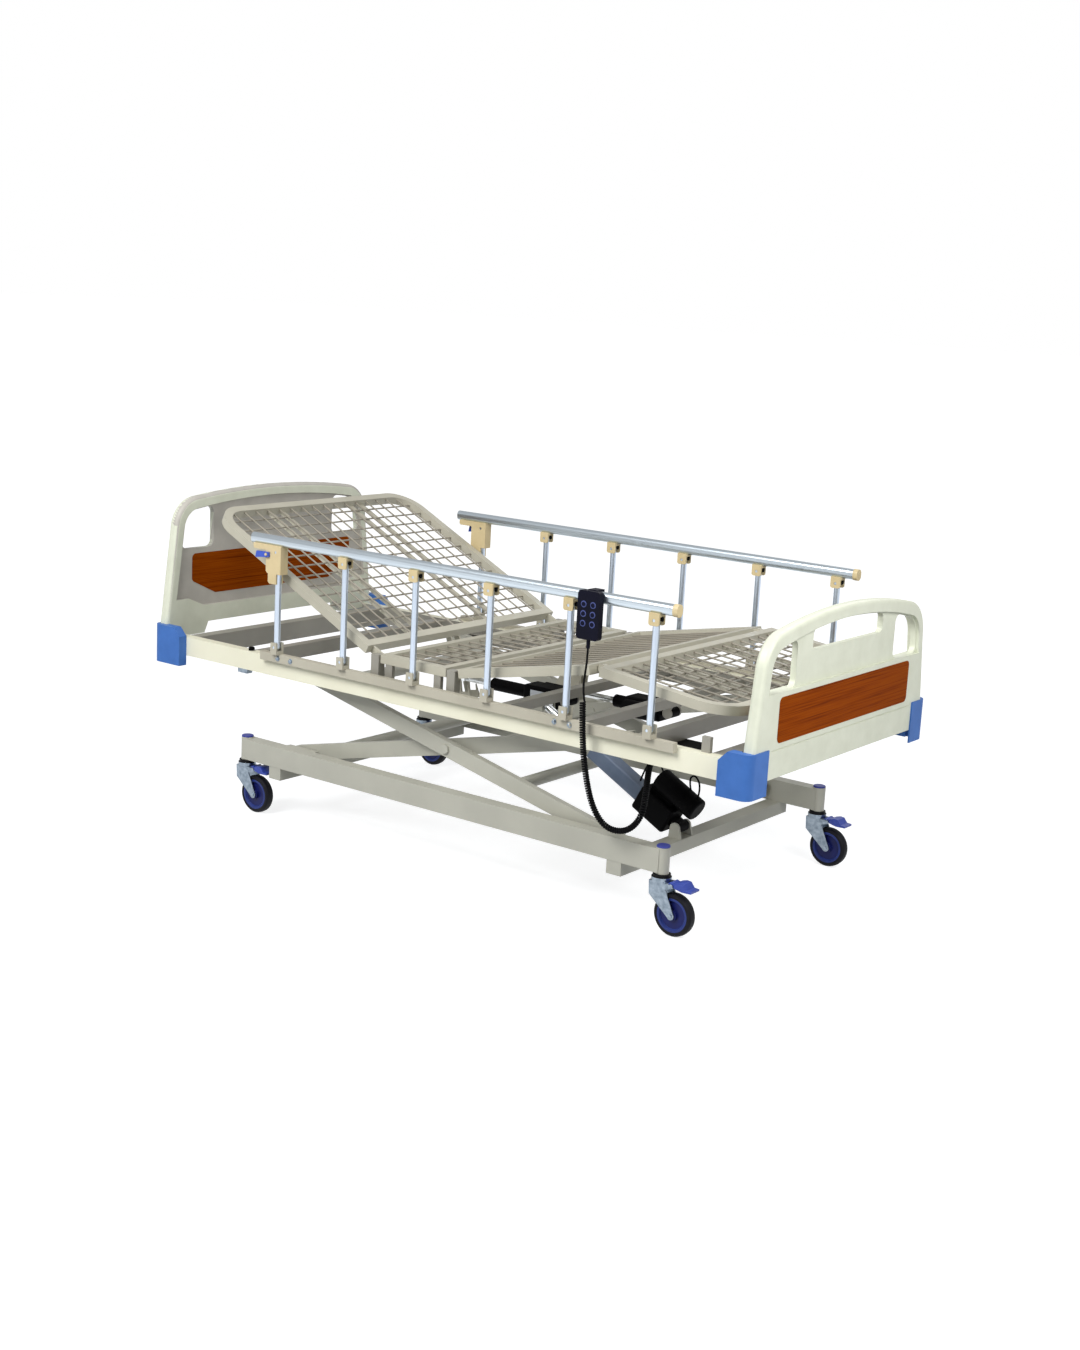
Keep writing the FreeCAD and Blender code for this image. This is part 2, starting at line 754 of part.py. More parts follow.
def make_board(node, end, face, form, ledge, handle_bottom, inlay):
    """An end board: round-edged rim, thinner panel over a ledge, and handle holes."""
    x0 = end * face
    x1 = end * (face + board_thickness)
    low, high = min(x0, x1), max(x0, x1)
    peak, bottom, cutout, crown_drop = form
    ledge_z, dip = ledge
    board = board_outline(form, 0.0, low, high)
    outer = []
    for e in board.Edges:
        along_x = abs(e.tangentAt(e.FirstParameter).x) > 0.1
        if not along_x and e.CenterOfMass.z > bottom + cutout + 5:
            outer.append(e)
    board = board.makeFillet(board_round, outer)
    far = board_half_width + 20
    step = dip * 2.4
    cover_line = [(-far, ledge_z), (-365, ledge_z), (step - 365, ledge_z - dip), (365 - step, ledge_z - dip)]
    cover_line += [(365, ledge_z), (far, ledge_z), (far, bottom - 10), (-far, bottom - 10)]
    cover = slab(cover_line, low - 2, high + 2)
    pocket = (board_thickness - board_panel) / 2
    board = board.cut(board_outline(form, board_rim, low - 1, low + pocket).cut(cover))
    board = board.cut(board_outline(form, board_rim, high - pocket, high + 1).cut(cover))
    hole = board_outline(form, handle_rim, low - 1, high + 1)
    hole = hole.common(block(low - 2, high + 2, handle_start, far, handle_bottom, peak))
    hole = rounded(hole, handle_round)
    board = board.cut(hole).cut(mirrored(hole))
    inlay_z, inlay_height, inlay_chamfer = inlay
    raised = inlay_z < ledge_z
    inlays = []
    for surface, outward in ((low, -1), (high, 1)):
        if not raised:
            surface = surface - outward * pocket
        seat = surface - outward * inlay_thickness / 2
        proud = surface + outward * inlay_thickness / 2
        plate = inlay_plate(inlay_z, inlay_height, inlay_chamfer, seat, proud)
        board = board.cut(plate)
        inlays.append(plate)
    return board, inlays


# End boards: moulded shells with a thick round rim, a recessed panel and handle
# holes; the foot board also has a middle slot and a groove over its lower part
head_form = (head_board_peak, head_board_bottom, head_board_cutout, head_board_crown)
head_board, board_inlays = make_board(
    "head_board",
    -1,
    head_board_face,
    head_form,
    (head_ledge_z, head_ledge_dip),
    head_handle_bottom,
    (head_inlay_top, head_inlay_height, head_inlay_chamfer),
)
save("head_board", [head_board])
foot_form = (foot_board_peak, foot_board_bottom, foot_board_cutout, foot_board_crown)
foot_board, foot_inlays = make_board(
    "foot_board",
    1,
    foot_board_face,
    foot_form,
    (foot_ledge_z, 0.0),
    foot_handle_bottom,
    (foot_inlay_top, foot_inlay_height, foot_inlay_chamfer),
)
x0, x1 = foot_board_face, foot_board_face + board_thickness
slot = board_outline(foot_form, handle_rim, x0 - 1, x1 + 1)
slot = slot.common(block(x0 - 2, x1 + 2, -foot_slot_half_width, foot_slot_half_width, foot_slot_bottom, foot_board_peak))
foot_board = foot_board.cut(rounded(slot, handle_round * 0.7))
groove_half_width = board_half_width - bumper_wrap
foot_board = foot_board.cut(block(x1 - 2, x1 + 1, -groove_half_width, groove_half_width, foot_groove_z, foot_groove_z + 3))
save("foot_board", [foot_board])
save("board_inlays", board_inlays + foot_inlays)

# Corner bumpers: blue shells that wrap the end of each rail and board
bumper_half_width = board_half_width + bumper_side
bumper_top = bumper_bottom + bumper_height
bumpers = []
for end, face, form, length in (
    (-1, head_board_face, head_form, bumper_length_head),
    (1, foot_board_face, foot_form, bumper_length_foot),
):
    outer_x = face + board_thickness + bumper_end
    inner_y = bumper_half_width - bumper_wrap
    shell = block(outer_x - length, outer_x, inner_y, bumper_half_width, bumper_bottom, bumper_top)
    corner = []
    for e in shell.Edges:
        upright = abs(e.tangentAt(e.FirstParameter).z) > 0.9
        if upright and e.CenterOfMass.y > bumper_half_width - 1 and e.CenterOfMass.x > outer_x - 1:
            corner.append(e)
    shell = shell.makeFillet(bumper_round, corner)
    wedge = [
        (outer_x - length - 1, bumper_top + 1),
        (outer_x - length - 1, bumper_top - bumper_chamfer),
        (outer_x - length + bumper_chamfer, bumper_top + 1),
    ]
    shell = shell.cut(profile(wedge, inner_y - 1, bumper_half_width + 1))
    shell = shell.cut(block(0, face, 0, deck_rail_outer_y, 0, foot_board_peak))
    shell = shell.cut(board_outline(form, 0.0, face, face + board_thickness))
    hollow_top = form[1] + 1
    shell = shell.cut(block(face - 1, face + board_thickness, 0, deck_rail_outer_y + 10, 0, hollow_top))
    if end < 0:
        shell = shell.mirror(V(0, 0, 0), V(1, 0, 0))
    bumpers += [shell, mirrored(shell)]
save("board_bumpers", bumpers)


def section_frame(x0, length, corner, corner_end):
    """A level section: hollow bar frame, its wires and two pairs of stiffeners."""
    x1 = x0 + length
    w = section_half_width

    def outline(inset, z0, z1):
        flat = block(x0 + inset, x1 - inset, -w + inset, w - inset, z0, z1)
        radius = corner - inset
        if radius > 1:
            edge_x = x0 + inset if corner_end < 0 else x1 - inset
            picked = []
            for e in flat.Edges:
                upright = abs(e.tangentAt(e.FirstParameter).z) > 0.9
                if upright and abs(e.CenterOfMass.x - edge_x) < 1:
                    picked.append(e)
            flat = flat.makeFillet(radius, picked)
        return flat

    z0, z1 = section_bottom, section_top
    ring = outline(0.0, z0, z1).cut(outline(section_bar, z0 - 1, z1 + 1))
    hollow = outline(section_wall, z0 + section_wall, z1 - section_wall)
    hollow = hollow.cut(outline(section_bar - section_wall, z0, z1))
    ring = ring.cut(hollow)
    middle_y = w - section_bar / 2
    middle_x = (x0 + x1) / 2
    drain = Part.makeCylinder(drain_hole / 2, section_wall + 2, V(middle_x, middle_y, z0 - 1))
    frame_pieces = [ring.cut(drain)]
    for offset in (-200, -150, 150, 200):
        frame_pieces.append(
            block(
                x0 + section_bar - 1,
                x1 - section_bar + 1,
                offset - stiffener_size / 2,
                offset + stiffener_size / 2,
                z0,
                z0 + stiffener_size * 0.5,
            )
        )
    inner = outline(section_bar, z0 - 1, z1 + 1)
    wires = []
    level = z1 - 3 * wire_diameter
    count = int((length - 2 * section_bar) // wire_pitch)
    first = x0 + (length - (count - 1) * wire_pitch) / 2
    for n in range(count):
        x = first + n * wire_pitch
        wire = rod((x, -w, level + wire_diameter / 2), (x, w, level + wire_diameter / 2), wire_diameter)
        wires.append(wire.common(inner))
    count = int((2 * w - 2 * section_bar) // wire_pitch)
    first = -(count - 1) * wire_pitch / 2
    level = level + wire_diameter
    for n in range(count):
        y = first + n * wire_pitch
        wire = rod((x0, y, level + wire_diameter / 2), (x1, y, level + wire_diameter / 2), wire_diameter)
        wires.append(wire.common(inner))
    return frame_pieces, wires


def hinge_lugs(pivot_x, bar_x, side_y, hole):
    """Plates from a section's end bar to its pivot."""
    lugs = []
    step = 10 if bar_x > pivot_x else -10
    for side in (-1, 1):
        y0, y1 = side * side_y, side * (side_y + lug_thickness)
        plate = block(pivot_x, bar_x + step, y0, y1, pivot_z - 10, section_bottom + 22)
        plate = plate.fuse(pin(pivot_x, pivot_z, y0, y1, 26.0))
        if hole:
            plate = plate.cut(pin(pivot_x, pivot_z, y0 - side * 2, y1 + side * 2, section_pin_diameter + pin_hole))
        lugs.append(plate)
    return lugs


def crank_plates(outline, pivot_x, y, lean, reach, depth, play):
    """Two plates under a section, each with a slot that the rod's cross pin drives."""
    width = drive_pin_diameter + 2 * play
    near, far = depth - play - 8, reach + play + 8
    plates = []
    for offset in (-crank_spacing / 2 - lug_thickness, crank_spacing / 2):
        plate = profile(outline, y + offset, y + offset + lug_thickness)
        slot = block(pivot_x - width / 2, pivot_x + width / 2, y + offset - 1, y + offset + lug_thickness + 1, pivot_z - near, pivot_z - far)
        plates.append(plate.cut(turn(slot, pivot_x, pivot_z, lean)))
    return plates


lug_y = section_half_width - lug_inset

# Backrest: rounded at the head end, turned up to the photograph's angle
back_end = back_pivot_x - back_gap
frame_pieces, wires = section_frame(back_end - back_length, back_length, back_corner, -1)
frame_pieces += hinge_lugs(back_pivot_x, back_end, lug_y, True)
back_depth = pivot_z - back_drive_z
back_reach = back_depth / math.cos(math.radians(back_mid_angle))
outline = [
    (back_end - 24, section_bottom + 2),
    (back_end + 0, section_bottom + 2),
    (back_pivot_x - 14, section_bottom - 16),
    (back_pivot_x + 36, section_bottom - 48),
    (back_pivot_x + 114, section_bottom - 112),
    (back_pivot_x + 78, section_bottom - 146),
    (back_pivot_x + 30, section_bottom - 96),
]
frame_pieces += crank_plates(outline, back_pivot_x, back_drive_y, -back_mid_angle, back_reach, back_depth, crank_slot_play)
solids = [joined(frame_pieces)] + wires
save("backrest_section", [turn(s, back_pivot_x, pivot_z, back_rest_angle) for s in solids])

# Seat: fixed level on the deck
frame_pieces, wires = section_frame(seat_start_x, seat_length, 0.0, 1)
save("seat_section", [joined(frame_pieces)] + wires)

# Thigh rest: turned up at the knee
thigh_start = thigh_pivot_x + thigh_gap
thigh_end = thigh_start + thigh_length
knee_x = thigh_end + knee_gap
frame_pieces, wires = section_frame(thigh_start, thigh_length, 0.0, 1)
frame_pieces += hinge_lugs(thigh_pivot_x, thigh_start, lug_y, True)
frame_pieces += hinge_lugs(knee_x, thigh_end, lug_y - 20, True)
knee_depth = pivot_z - knee_drive_z
knee_reach = knee_depth / math.cos(math.radians(thigh_mid_angle))
crank_low = pivot_z - knee_reach - 24
outline = [
    (thigh_start + 2, section_bottom + 2),
    (thigh_start + 40, section_bottom + 2),
    (thigh_pivot_x + 18, crank_low),
    (thigh_pivot_x - 56, crank_low),
    (thigh_pivot_x - 52, pivot_z - knee_depth + 26),
]
frame_pieces += crank_plates(outline, thigh_pivot_x, knee_drive_y, thigh_mid_angle, knee_reach, knee_depth, knee_slot_play)
solids = [joined(frame_pieces)] + wires
save("thigh_section", [turn(s, thigh_pivot_x, pivot_z, -thigh_rest_angle) for s in solids])

# Leg rest: hinged to the thigh rest, rounded at the foot end
leg_start = knee_x + knee_gap
frame_pieces, wires = section_frame(leg_start, leg_length, leg_corner, 1)
for side in (-1, 1):
    y0 = side * (lug_y - 20 + lug_thickness + 1)
    y1 = side * (lug_y - 20 + 2 * lug_thickness + 1)
    plate = block(knee_x, leg_start + 10, y0, y1, pivot_z - 10, section_bottom + 22)
    plate = plate.fuse(pin(knee_x, pivot_z, y0, y1, 26.0))
    frame_pieces.append(plate.fuse(pin(knee_x, pivot_z, y1, side * (lug_y - 24), section_pin_diameter)))
leg_turn = leg_ratio * thigh_rest_angle
solids = [turn(s, knee_x, pivot_z, leg_turn) for s in [joined(frame_pieces)] + wires]
save("leg_section", [turn(s, thigh_pivot_x, pivot_z, -thigh_rest_angle) for s in solids])


def section_drive(name, eye_x, y, z, case_length, pin_x):
    """A small actuator that lies level: housing, motor and case, and its rod."""
    half = drive_eye_width / 2 - 1
    x0 = eye_x - 20
    x1 = x0 - drive_housing_length
    body = block(
        x0,
        x1,
        y - drive_housing_width / 2,
        y + drive_housing_width / 2,
        z - drive_housing_height / 2,
        z + drive_housing_height / 2,
    )
    body = body.makeFillet(7.0, [e for e in body.Edges])
    eye = pin(eye_x, z, y - half, y + half, drive_eye_diameter)
    eye = eye.fuse(block(eye_x, x0 - 2, y - half, y + half, z - 10, z + 10))
    case = rod((x1 + 2, y, z), (x1 - case_length, y, z), drive_case_diameter)
    side = 1 if y < 0 else -1
    motor_y = y + side * (drive_housing_width + drive_motor_diameter - 12) / 2
    motor = rod((x0 - 6, motor_y, z), (x1 + 18, motor_y, z), drive_motor_diameter)
    whole = joined([body, eye, case, motor])
    whole = whole.cut(rod((x1 + 60, y, z), (x1 - case_length - 1, y, z), drive_rod_diameter + pin_hole))
    whole = whole.cut(pin(eye_x, z, y - half - 1, y + half + 1, drive_pin_diameter + pin_hole))
    save(name + "_motor", [whole])
    tail = x1 - 6
    rod_piece = rod((tail, y, z), (pin_x - 9, y, z), drive_rod_diameter)
    reach = crank_spacing / 2 + lug_thickness + 4
    rod_piece = rod_piece.fuse(pin(pin_x, z, y - reach, y + reach, drive_pin_diameter))
    save(name + "_rod", [rod_piece.removeSplitter()])


back_lean = math.radians(back_mid_angle - back_rest_angle)
knee_lean = math.radians(thigh_mid_angle - thigh_rest_angle)
back_pin_x = back_pivot_x + back_depth * math.tan(back_lean)
knee_pin_x = thigh_pivot_x - knee_depth * math.tan(knee_lean)
section_drive("back", back_eye_x, back_drive_y, back_drive_z, drive_case_length, back_pin_x)
section_drive("knee", knee_eye_x, knee_drive_y, knee_drive_z, knee_case_length, knee_pin_x)

# Control box: hangs from a deck cross tube
box_top = cross_low
box_x = box_tube_x
control = block(
    box_x - control_box_length / 2,
    box_x + control_box_length / 2,
    control_box_y - control_box_width / 2,
    control_box_y + control_box_width / 2,
    box_top - control_box_height,
    box_top,
)
control = control.makeFillet(6.0, [e for e in control.Edges if abs(e.tangentAt(e.FirstParameter).z) > 0.9])
socket_x = box_x
socket_z = box_top - control_box_height / 2
socket_face = control_box_y - control_box_width / 2 - 8
control = control.fuse(pin(socket_x, socket_z, control_box_y, socket_face, 18.0))
save("control_box", [control.removeSplitter()])

# Side rail mounts: a bar bolted along each deck rail, with a clevis for every post
knuckle_z = rail_pivot_z + rail_swing
clevis_gap = rail_post_diameter / 2 + clevis_side_gap
clevis_outer = clevis_gap + clevis_wall
bar_top = mount_bar_bottom + mount_bar_height
post_xs = [rail_post_first_x + n * rail_post_pitch for n in range(rail_post_count)]
end_gap = rail_post_diameter / 2 + 1.0
top_tube_z = knuckle_z + end_gap + 6.0 + top_tube_height / 2
mounts = []
for side in (-1, 1):
    bar_inner = deck_rail_outer_y
    pieces = [
        block(
            mount_bar_start,
            mount_bar_end,
            side * bar_inner,
            side * (bar_inner + mount_bar_width),
            mount_bar_bottom,
            bar_top,
        )
    ]
    for x in post_xs:
        y0 = side * (rail_post_y - clevis_outer)
        y1 = side * (rail_post_y + clevis_outer)
        clevis = block(x - clevis_length / 2, x + clevis_length / 2, y0, y1, bar_top - 1, rail_pivot_z + 13)
        y0 = side * (rail_post_y - clevis_gap)
        y1 = side * (rail_post_y + clevis_gap)
        clevis = clevis.cut(block(x - clevis_length, x + clevis_length, y0, y1, rail_pivot_z - end_gap, rail_pivot_z + 30))
        y0 = side * (rail_post_y - clevis_outer - 1)
        y1 = side * (rail_post_y + clevis_outer + 1)
        pieces.append(clevis.cut(pin(x, rail_pivot_z, y0, y1, rail_pin_diameter + pin_hole)))
    for x in (post_xs[0] + 4, post_xs[0] + 53, post_xs[4] - 34, post_xs[4] + 16):
        face = bar_inner + mount_bar_width
        pieces.append(pin(x, mount_bar_bottom + 13, side * (face - 1), side * (face + 5), 11.0))
    mounts.append(joined(pieces))
save("rail_mounts", mounts)


def side_rail(name, side):
    """One folding side rail: six posts, oval top tube, knuckles, latch and lever."""
    y = side * rail_post_y
    for n, x in enumerate(post_xs):
        post = rod((x, y, rail_pivot_z), (x, y, knuckle_z), rail_post_diameter)
        post = post.fuse(Part.makeSphere(rail_post_diameter / 2, V(x, y, rail_pivot_z)))
        post = post.fuse(Part.makeSphere(rail_post_diameter / 2, V(x, y, knuckle_z)))
        for z in (rail_pivot_z, knuckle_z):
            post = post.fuse(pin(x, z, y - clevis_outer + 1, y + clevis_outer - 1, rail_pin_diameter))
        save(name + "_post_" + str(n + 1), [post.removeSplitter()])

    half_w, half_h = top_tube_width / 2, top_tube_height / 2

    def oval(x0, x1, inset):
        w, h = half_w - inset, half_h - inset
        flat = h - w
        body = block(x0, x1, y - w, y + w, top_tube_z - flat, top_tube_z + flat)
        for z in (top_tube_z - flat, top_tube_z + flat):
            body = body.fuse(rod((x0, y, z), (x1, y, z), 2 * w))
        return body.removeSplitter()

    tube = oval(top_tube_start, top_tube_end, 0.0)
    tube = tube.cut(oval(top_tube_start - 1, top_tube_end + 1, top_tube_wall))
    save(name + "_top_rail", [tube])

    fittings = []
    tube_bottom = top_tube_z - half_h
    top = tube_bottom + 3
    for x in post_xs[1:]:
        body = block(x - knuckle_length / 2, x + knuckle_length / 2, y - clevis_outer, y + clevis_outer, knuckle_z - 13, top)
        body = body.makeFillet(6.0, [e for e in body.Edges if abs(e.tangentAt(e.FirstParameter).y) > 0.9 and e.CenterOfMass.z < knuckle_z])
        slot = block(x - 40, x + 40, y - clevis_gap, y + clevis_gap, knuckle_z - 40, knuckle_z + end_gap)
        body = body.cut(slot).cut(pin(x, knuckle_z, y - 30, y + 30, rail_pin_diameter + pin_hole))
        fittings.append(body.cut(oval(x - 60, x + 60, 0.0)))
    x = post_xs[0]
    left = x - latch_arm_reach
    right = x + latch_body_right
    outline = [
        (left, top),
        (left, latch_arm_bottom + 4),
        (left + 4, latch_arm_bottom),
        (x - latch_body_left, latch_arm_bottom),
        (x - latch_body_left, latch_body_bottom + 6),
        (x - latch_body_left + 6, latch_body_bottom),
        (x - 28, latch_body_bottom),
        (x - 28, latch_bottom + 6),
        (x - 22, latch_bottom),
        (x + 4, latch_bottom),
        (x + 4, latch_body_bottom),
        (right, latch_body_bottom),
        (right, top),
    ]
    body = profile(outline, y - clevis_outer, y + clevis_outer)
    sweep = [
        (left - 5, knuckle_z + end_gap),
        (left - 5, latch_bottom - 5),
        (x + end_gap, latch_bottom - 5),
        (x + end_gap, knuckle_z + end_gap),
    ]
    body = body.cut(profile(sweep, y - clevis_gap, y + clevis_gap))
    body = body.cut(pin(x, knuckle_z, y - 30, y + 30, rail_pin_diameter + pin_hole))
    body = body.cut(oval(top_tube_start, right + 40, 0.0))
    lever_x = x - lever_pivot_inset
    lever_z = knuckle_z - lever_pivot_drop
    outside = y + side * clevis_outer
    body = body.fuse(pin(lever_x, lever_z, outside - side * 3, outside + side * 9, 8.0))
    fittings.append(body.removeSplitter())
    cap = oval(top_tube_end, top_tube_end + 14, -1.0)
    plug = oval(top_tube_end - 12, top_tube_end, top_tube_wall)
    fittings.append(cap.fuse(plug).removeSplitter())
    save(name + "_fittings", fittings)

    y0 = outside + side * 0.5
    y1 = y0 + side * lever_thickness
    outline = [
        (lever_x + 9, lever_z - lever_height / 2 + 2),
        (lever_x + 9, lever_z + lever_height / 2 - 2),
        (lever_x - lever_reach + 4, lever_z + lever_height / 2 - 3),
        (lever_x - lever_reach, lever_z - lever_height / 2 - 4),
    ]
    lever = profile(outline, y0, y1)
    save(name + "_lever", [lever.cut(pin(lever_x, lever_z, y0 - side, y1 + side, 8.0 + pin_hole))])


side_rail("near", -1)
side_rail("far", 1)

# Handset: hangs on the near top rail by a hook, with six press buttons
rail_face = -rail_post_y - top_tube_width / 2
back_y = rail_face - hook_gap
front_y = back_y - handset_thickness
handset_bottom = handset_top - handset_height
x0 = handset_x - handset_width / 2
x1 = handset_x + handset_width / 2
shell = block(x0, x1, front_y, back_y, handset_bottom, handset_top)
shell = shell.makeFillet(9.0, [e for e in shell.Edges if abs(e.tangentAt(e.FirstParameter).y) > 0.9])
tube_top = top_tube_z + top_tube_height / 2
hook_inner = -rail_post_y + top_tube_width / 2 + hook_gap
hook_top = max(tube_top + hook_gap, handset_top - hook_thickness)
hook_pieces = [
    block(handset_x - 14, handset_x + 14, back_y - 4, hook_inner + hook_thickness, hook_top, hook_top + hook_thickness),
    block(handset_x - 14, handset_x + 14, hook_inner, hook_inner + hook_thickness, hook_top - 22, hook_top + 1),
    block(handset_x - 14, handset_x + 14, back_y - 4, back_y, handset_top - 20, hook_top + 1),
]
relief_z = handset_bottom - 22
relief = rod((handset_x, (front_y + back_y) / 2, relief_z), (handset_x, (front_y + back_y) / 2, handset_bottom + 2), 10.0)
body = joined([shell] + hook_pieces + [relief])
button_places = []
for row in range(3):
    for column in (-1, 1):
        button_places.append((handset_x + column * 14, handset_top - 34 - row * 24))
for x, z in button_places:
    body = body.cut(pin(x, z, front_y - 1, front_y + button_depth + 2, button_diameter + 2 * pin_clearance + 0.4))
save("handset", [body])
for n, (x, z) in enumerate(button_places):
    key = pin(x, z, front_y - button_rise, front_y + button_depth, button_diameter)
    save("button_" + str(n + 1), [key])

# Handset cord: a thin plain stretch that hangs from the handset, then the fat curly
# part, which hangs in a loop outside the base rail and ends in the control box
cord_y = (front_y + back_y) / 2
arc_share = 0.45


def cord_tube(name, points, diameter):
    """A round cord of straight runs joined by tangent arcs."""
    corners = [V(*p) for p in points]
    edges = []
    radii = []
    start = corners[0]
    for before, corner, after in zip(corners, corners[1:], corners[2:]):
        incoming = (corner - before).normalize()
        outgoing = (after - corner).normalize()
        half_turn = incoming.getAngle(outgoing) / 2
        trim = arc_share * min((corner - before).Length, (after - corner).Length)
        radius = trim / math.tan(half_turn)
        inward = (outgoing - incoming).normalize()
        middle = corner + inward * (radius / math.cos(half_turn) - radius)
        arc_start = corner - incoming * trim
        arc_end = corner + outgoing * trim
        edges.append(Part.LineSegment(start, arc_start).toShape())
        edges.append(Part.Arc(arc_start, middle, arc_end).toShape())
        radii.append(round(radius))
        start = arc_end
    edges.append(Part.LineSegment(start, corners[-1]).toShape())
    path = Part.Wire(edges)
    ring = Part.Wire([Part.makeCircle(diameter / 2, corners[0], corners[1] - corners[0])])
    tube = path.makePipeShell([ring], True, True)
    expected = math.pi * diameter ** 2 / 4 * path.Length
    print(name, "length", round(path.Length), "radii", radii, "volume share", round(tube.Volume / expected, 4))
    return tube


cord_top = V(handset_x, cord_y, relief_z)
coil_top = V(handset_x - 4, cord_y - 3.4, 566.0)
coil_path = [
    coil_top,
    V(handset_x, cord_y - 2.4, 470.0),
    V(handset_x + 15, cord_y + 2.6, 370.0),
    V(handset_x + 37, cord_y + 8.6, 296.0),
    V(handset_x + 75, cord_y + 15.6, 252.0),
    V(handset_x + 130, cord_y + 23.6, 252.0),
    V(handset_x + 167, cord_y + 30.6, 292.0),
    V(handset_x + 165, cord_y + 50.6, 345.0),
    V(handset_x + 143, cord_y + 86.6, 376.0),
    V(socket_x + 11, socket_face - 64, socket_z - 14.5),
    V(socket_x, socket_face - 32, socket_z),
    V(socket_x, socket_face, socket_z),
]
coil_start = (coil_path[1] - coil_top).normalize()
cord_path = [cord_top, cord_top - V(0, 0, 40), coil_top - coil_start * 45, coil_top]
save("cord", [cord_tube("cord", cord_path, cord_diameter)])
save("cord_coil", [cord_tube("cord_coil", coil_path, coil_diameter)])
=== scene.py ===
import math

import bmesh
import bpy
from mathutils import Matrix, Vector


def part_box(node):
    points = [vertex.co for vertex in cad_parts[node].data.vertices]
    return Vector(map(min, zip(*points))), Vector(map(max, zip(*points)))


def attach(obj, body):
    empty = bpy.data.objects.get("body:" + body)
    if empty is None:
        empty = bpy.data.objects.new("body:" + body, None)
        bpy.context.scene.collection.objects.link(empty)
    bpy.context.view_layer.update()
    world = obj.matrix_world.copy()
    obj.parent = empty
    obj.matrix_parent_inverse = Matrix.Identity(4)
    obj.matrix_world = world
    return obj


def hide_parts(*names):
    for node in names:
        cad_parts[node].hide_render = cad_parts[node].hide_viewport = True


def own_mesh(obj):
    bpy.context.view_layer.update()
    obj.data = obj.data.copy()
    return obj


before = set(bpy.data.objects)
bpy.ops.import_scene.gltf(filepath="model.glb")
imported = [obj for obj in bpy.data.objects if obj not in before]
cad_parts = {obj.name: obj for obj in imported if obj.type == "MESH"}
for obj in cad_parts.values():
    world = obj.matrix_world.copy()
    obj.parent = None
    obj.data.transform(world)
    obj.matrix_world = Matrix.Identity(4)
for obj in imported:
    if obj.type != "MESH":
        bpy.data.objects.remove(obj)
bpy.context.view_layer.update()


# The viewpoint: a camera at the near foot corner, at about head height, that looks along the
# bed towards its head end. Its place and angles were fitted to measured corners of the bed.
focal_pixels = 1824.7
frame_width_pixels = 1080
sensor_width = 36.0
camera_place = Vector((3.0929, -4.0907, 1.5735))
camera_heading = 36.51
camera_tilt_down = 12.11
camera_roll = 3.04

camera_data = bpy.data.cameras.new("viewpoint")
camera_data.sensor_fit = "HORIZONTAL"
camera_data.sensor_width = sensor_width
camera_data.lens = focal_pixels / frame_width_pixels * sensor_width
camera = bpy.data.objects.new("viewpoint", camera_data)
bpy.context.scene.collection.objects.link(camera)
camera.matrix_world = (
    Matrix.Translation(camera_place)
    @ Matrix.Rotation(math.radians(camera_heading), 4, "Z")
    @ Matrix.Rotation(math.radians(90 - camera_tilt_down), 4, "X")
    @ Matrix.Rotation(math.radians(camera_roll), 4, "Z")
)
bpy.context.scene.camera = camera


# The handset's lead: soft black PVC, a straight run and then a curly cord that hangs outside the
# deck rail, swings in under it and plugs into the control box. The turns are wound on a mandrel
# and keep their shape.
lead_diameter = 5.4 / 1000
curl_outside = 17.0 / 1000
curl_pitch = 6.2 / 1000
steps_a_turn = 12
route_steps = 24
skin_steps = 2
measured_steps = 4
shortest_step = 1e-7
bight_x = 0.655
edge_round = 0.9 / 1000
moulding_mottle = 50.0 / 1000
moulding_grain = 0.9 / 1000
moulding_relief = 0.03 / 1000
straight_points = [
    (0.5615, -0.4786, 0.7010),
    (0.5615, -0.4786, 0.6610),
    (0.5556, -0.4825, 0.6110),
    (0.5575, -0.4820, 0.5660),
]
curl_points = [
    (0.5575, -0.4820, 0.5660),
    (0.5615, -0.4810, 0.4700),
    (0.5765, -0.4760, 0.3700),
    (0.5985, -0.4700, 0.2960),
    (0.6365, -0.4630, 0.2520),
    (0.6915, -0.4550, 0.2520),
    (0.7285, -0.4480, 0.2920),
    (0.7265, -0.4280, 0.3450),
    (0.7045, -0.3920, 0.3760),
    (0.6825, -0.3520, 0.4040),
    (0.6715, -0.3200, 0.4185),
    (0.6715, -0.2880, 0.4185),
]


def linear(colour):
    """An sRGB hex colour as the linear red, green, blue and alpha that Blender uses."""
    parts = [int(colour[n:n + 2], 16) / 255 for n in (1, 3, 5)]
    parts = [c / 12.92 if c <= 0.04045 else ((c + 0.055) / 1.055) ** 2.4 for c in parts]
    return (*parts, 1.0)


def add_node(tree, kind, inputs=None, **settings):
    """Adds one node with its settings. An input is a plain value or another node's output."""
    node = tree.nodes.new(kind)
    for key, value in settings.items():
        setattr(node, key, value)
    for key, value in (inputs or {}).items():
        if isinstance(value, bpy.types.NodeSocket):
            tree.links.new(value, node.inputs[key])
        else:
            node.inputs[key].default_value = value
    return node


def start_material(name):
    """A new material with an empty node tree."""
    material = bpy.data.materials.new(name)
    material.use_nodes = True
    material.node_tree.nodes.clear()
    return material, material.node_tree


def grain(tree, size, detail=2.0, stretch=(1, 1, 1)):
    """Noise on the piece itself, whose grain is size metres, drawn out along an axis by stretch."""
    place = add_node(tree, "ShaderNodeMapping", {
        "Vector": add_node(tree, "ShaderNodeTexCoord").outputs["Object"],
        "Scale": tuple(1 / (size * s) for s in stretch),
    })
    return add_node(tree, "ShaderNodeTexNoise", {
        "Vector": place.outputs[0],
        "Scale": 1.0,
        "Detail": detail,
        "Roughness": 0.55,
    }).outputs["Fac"]


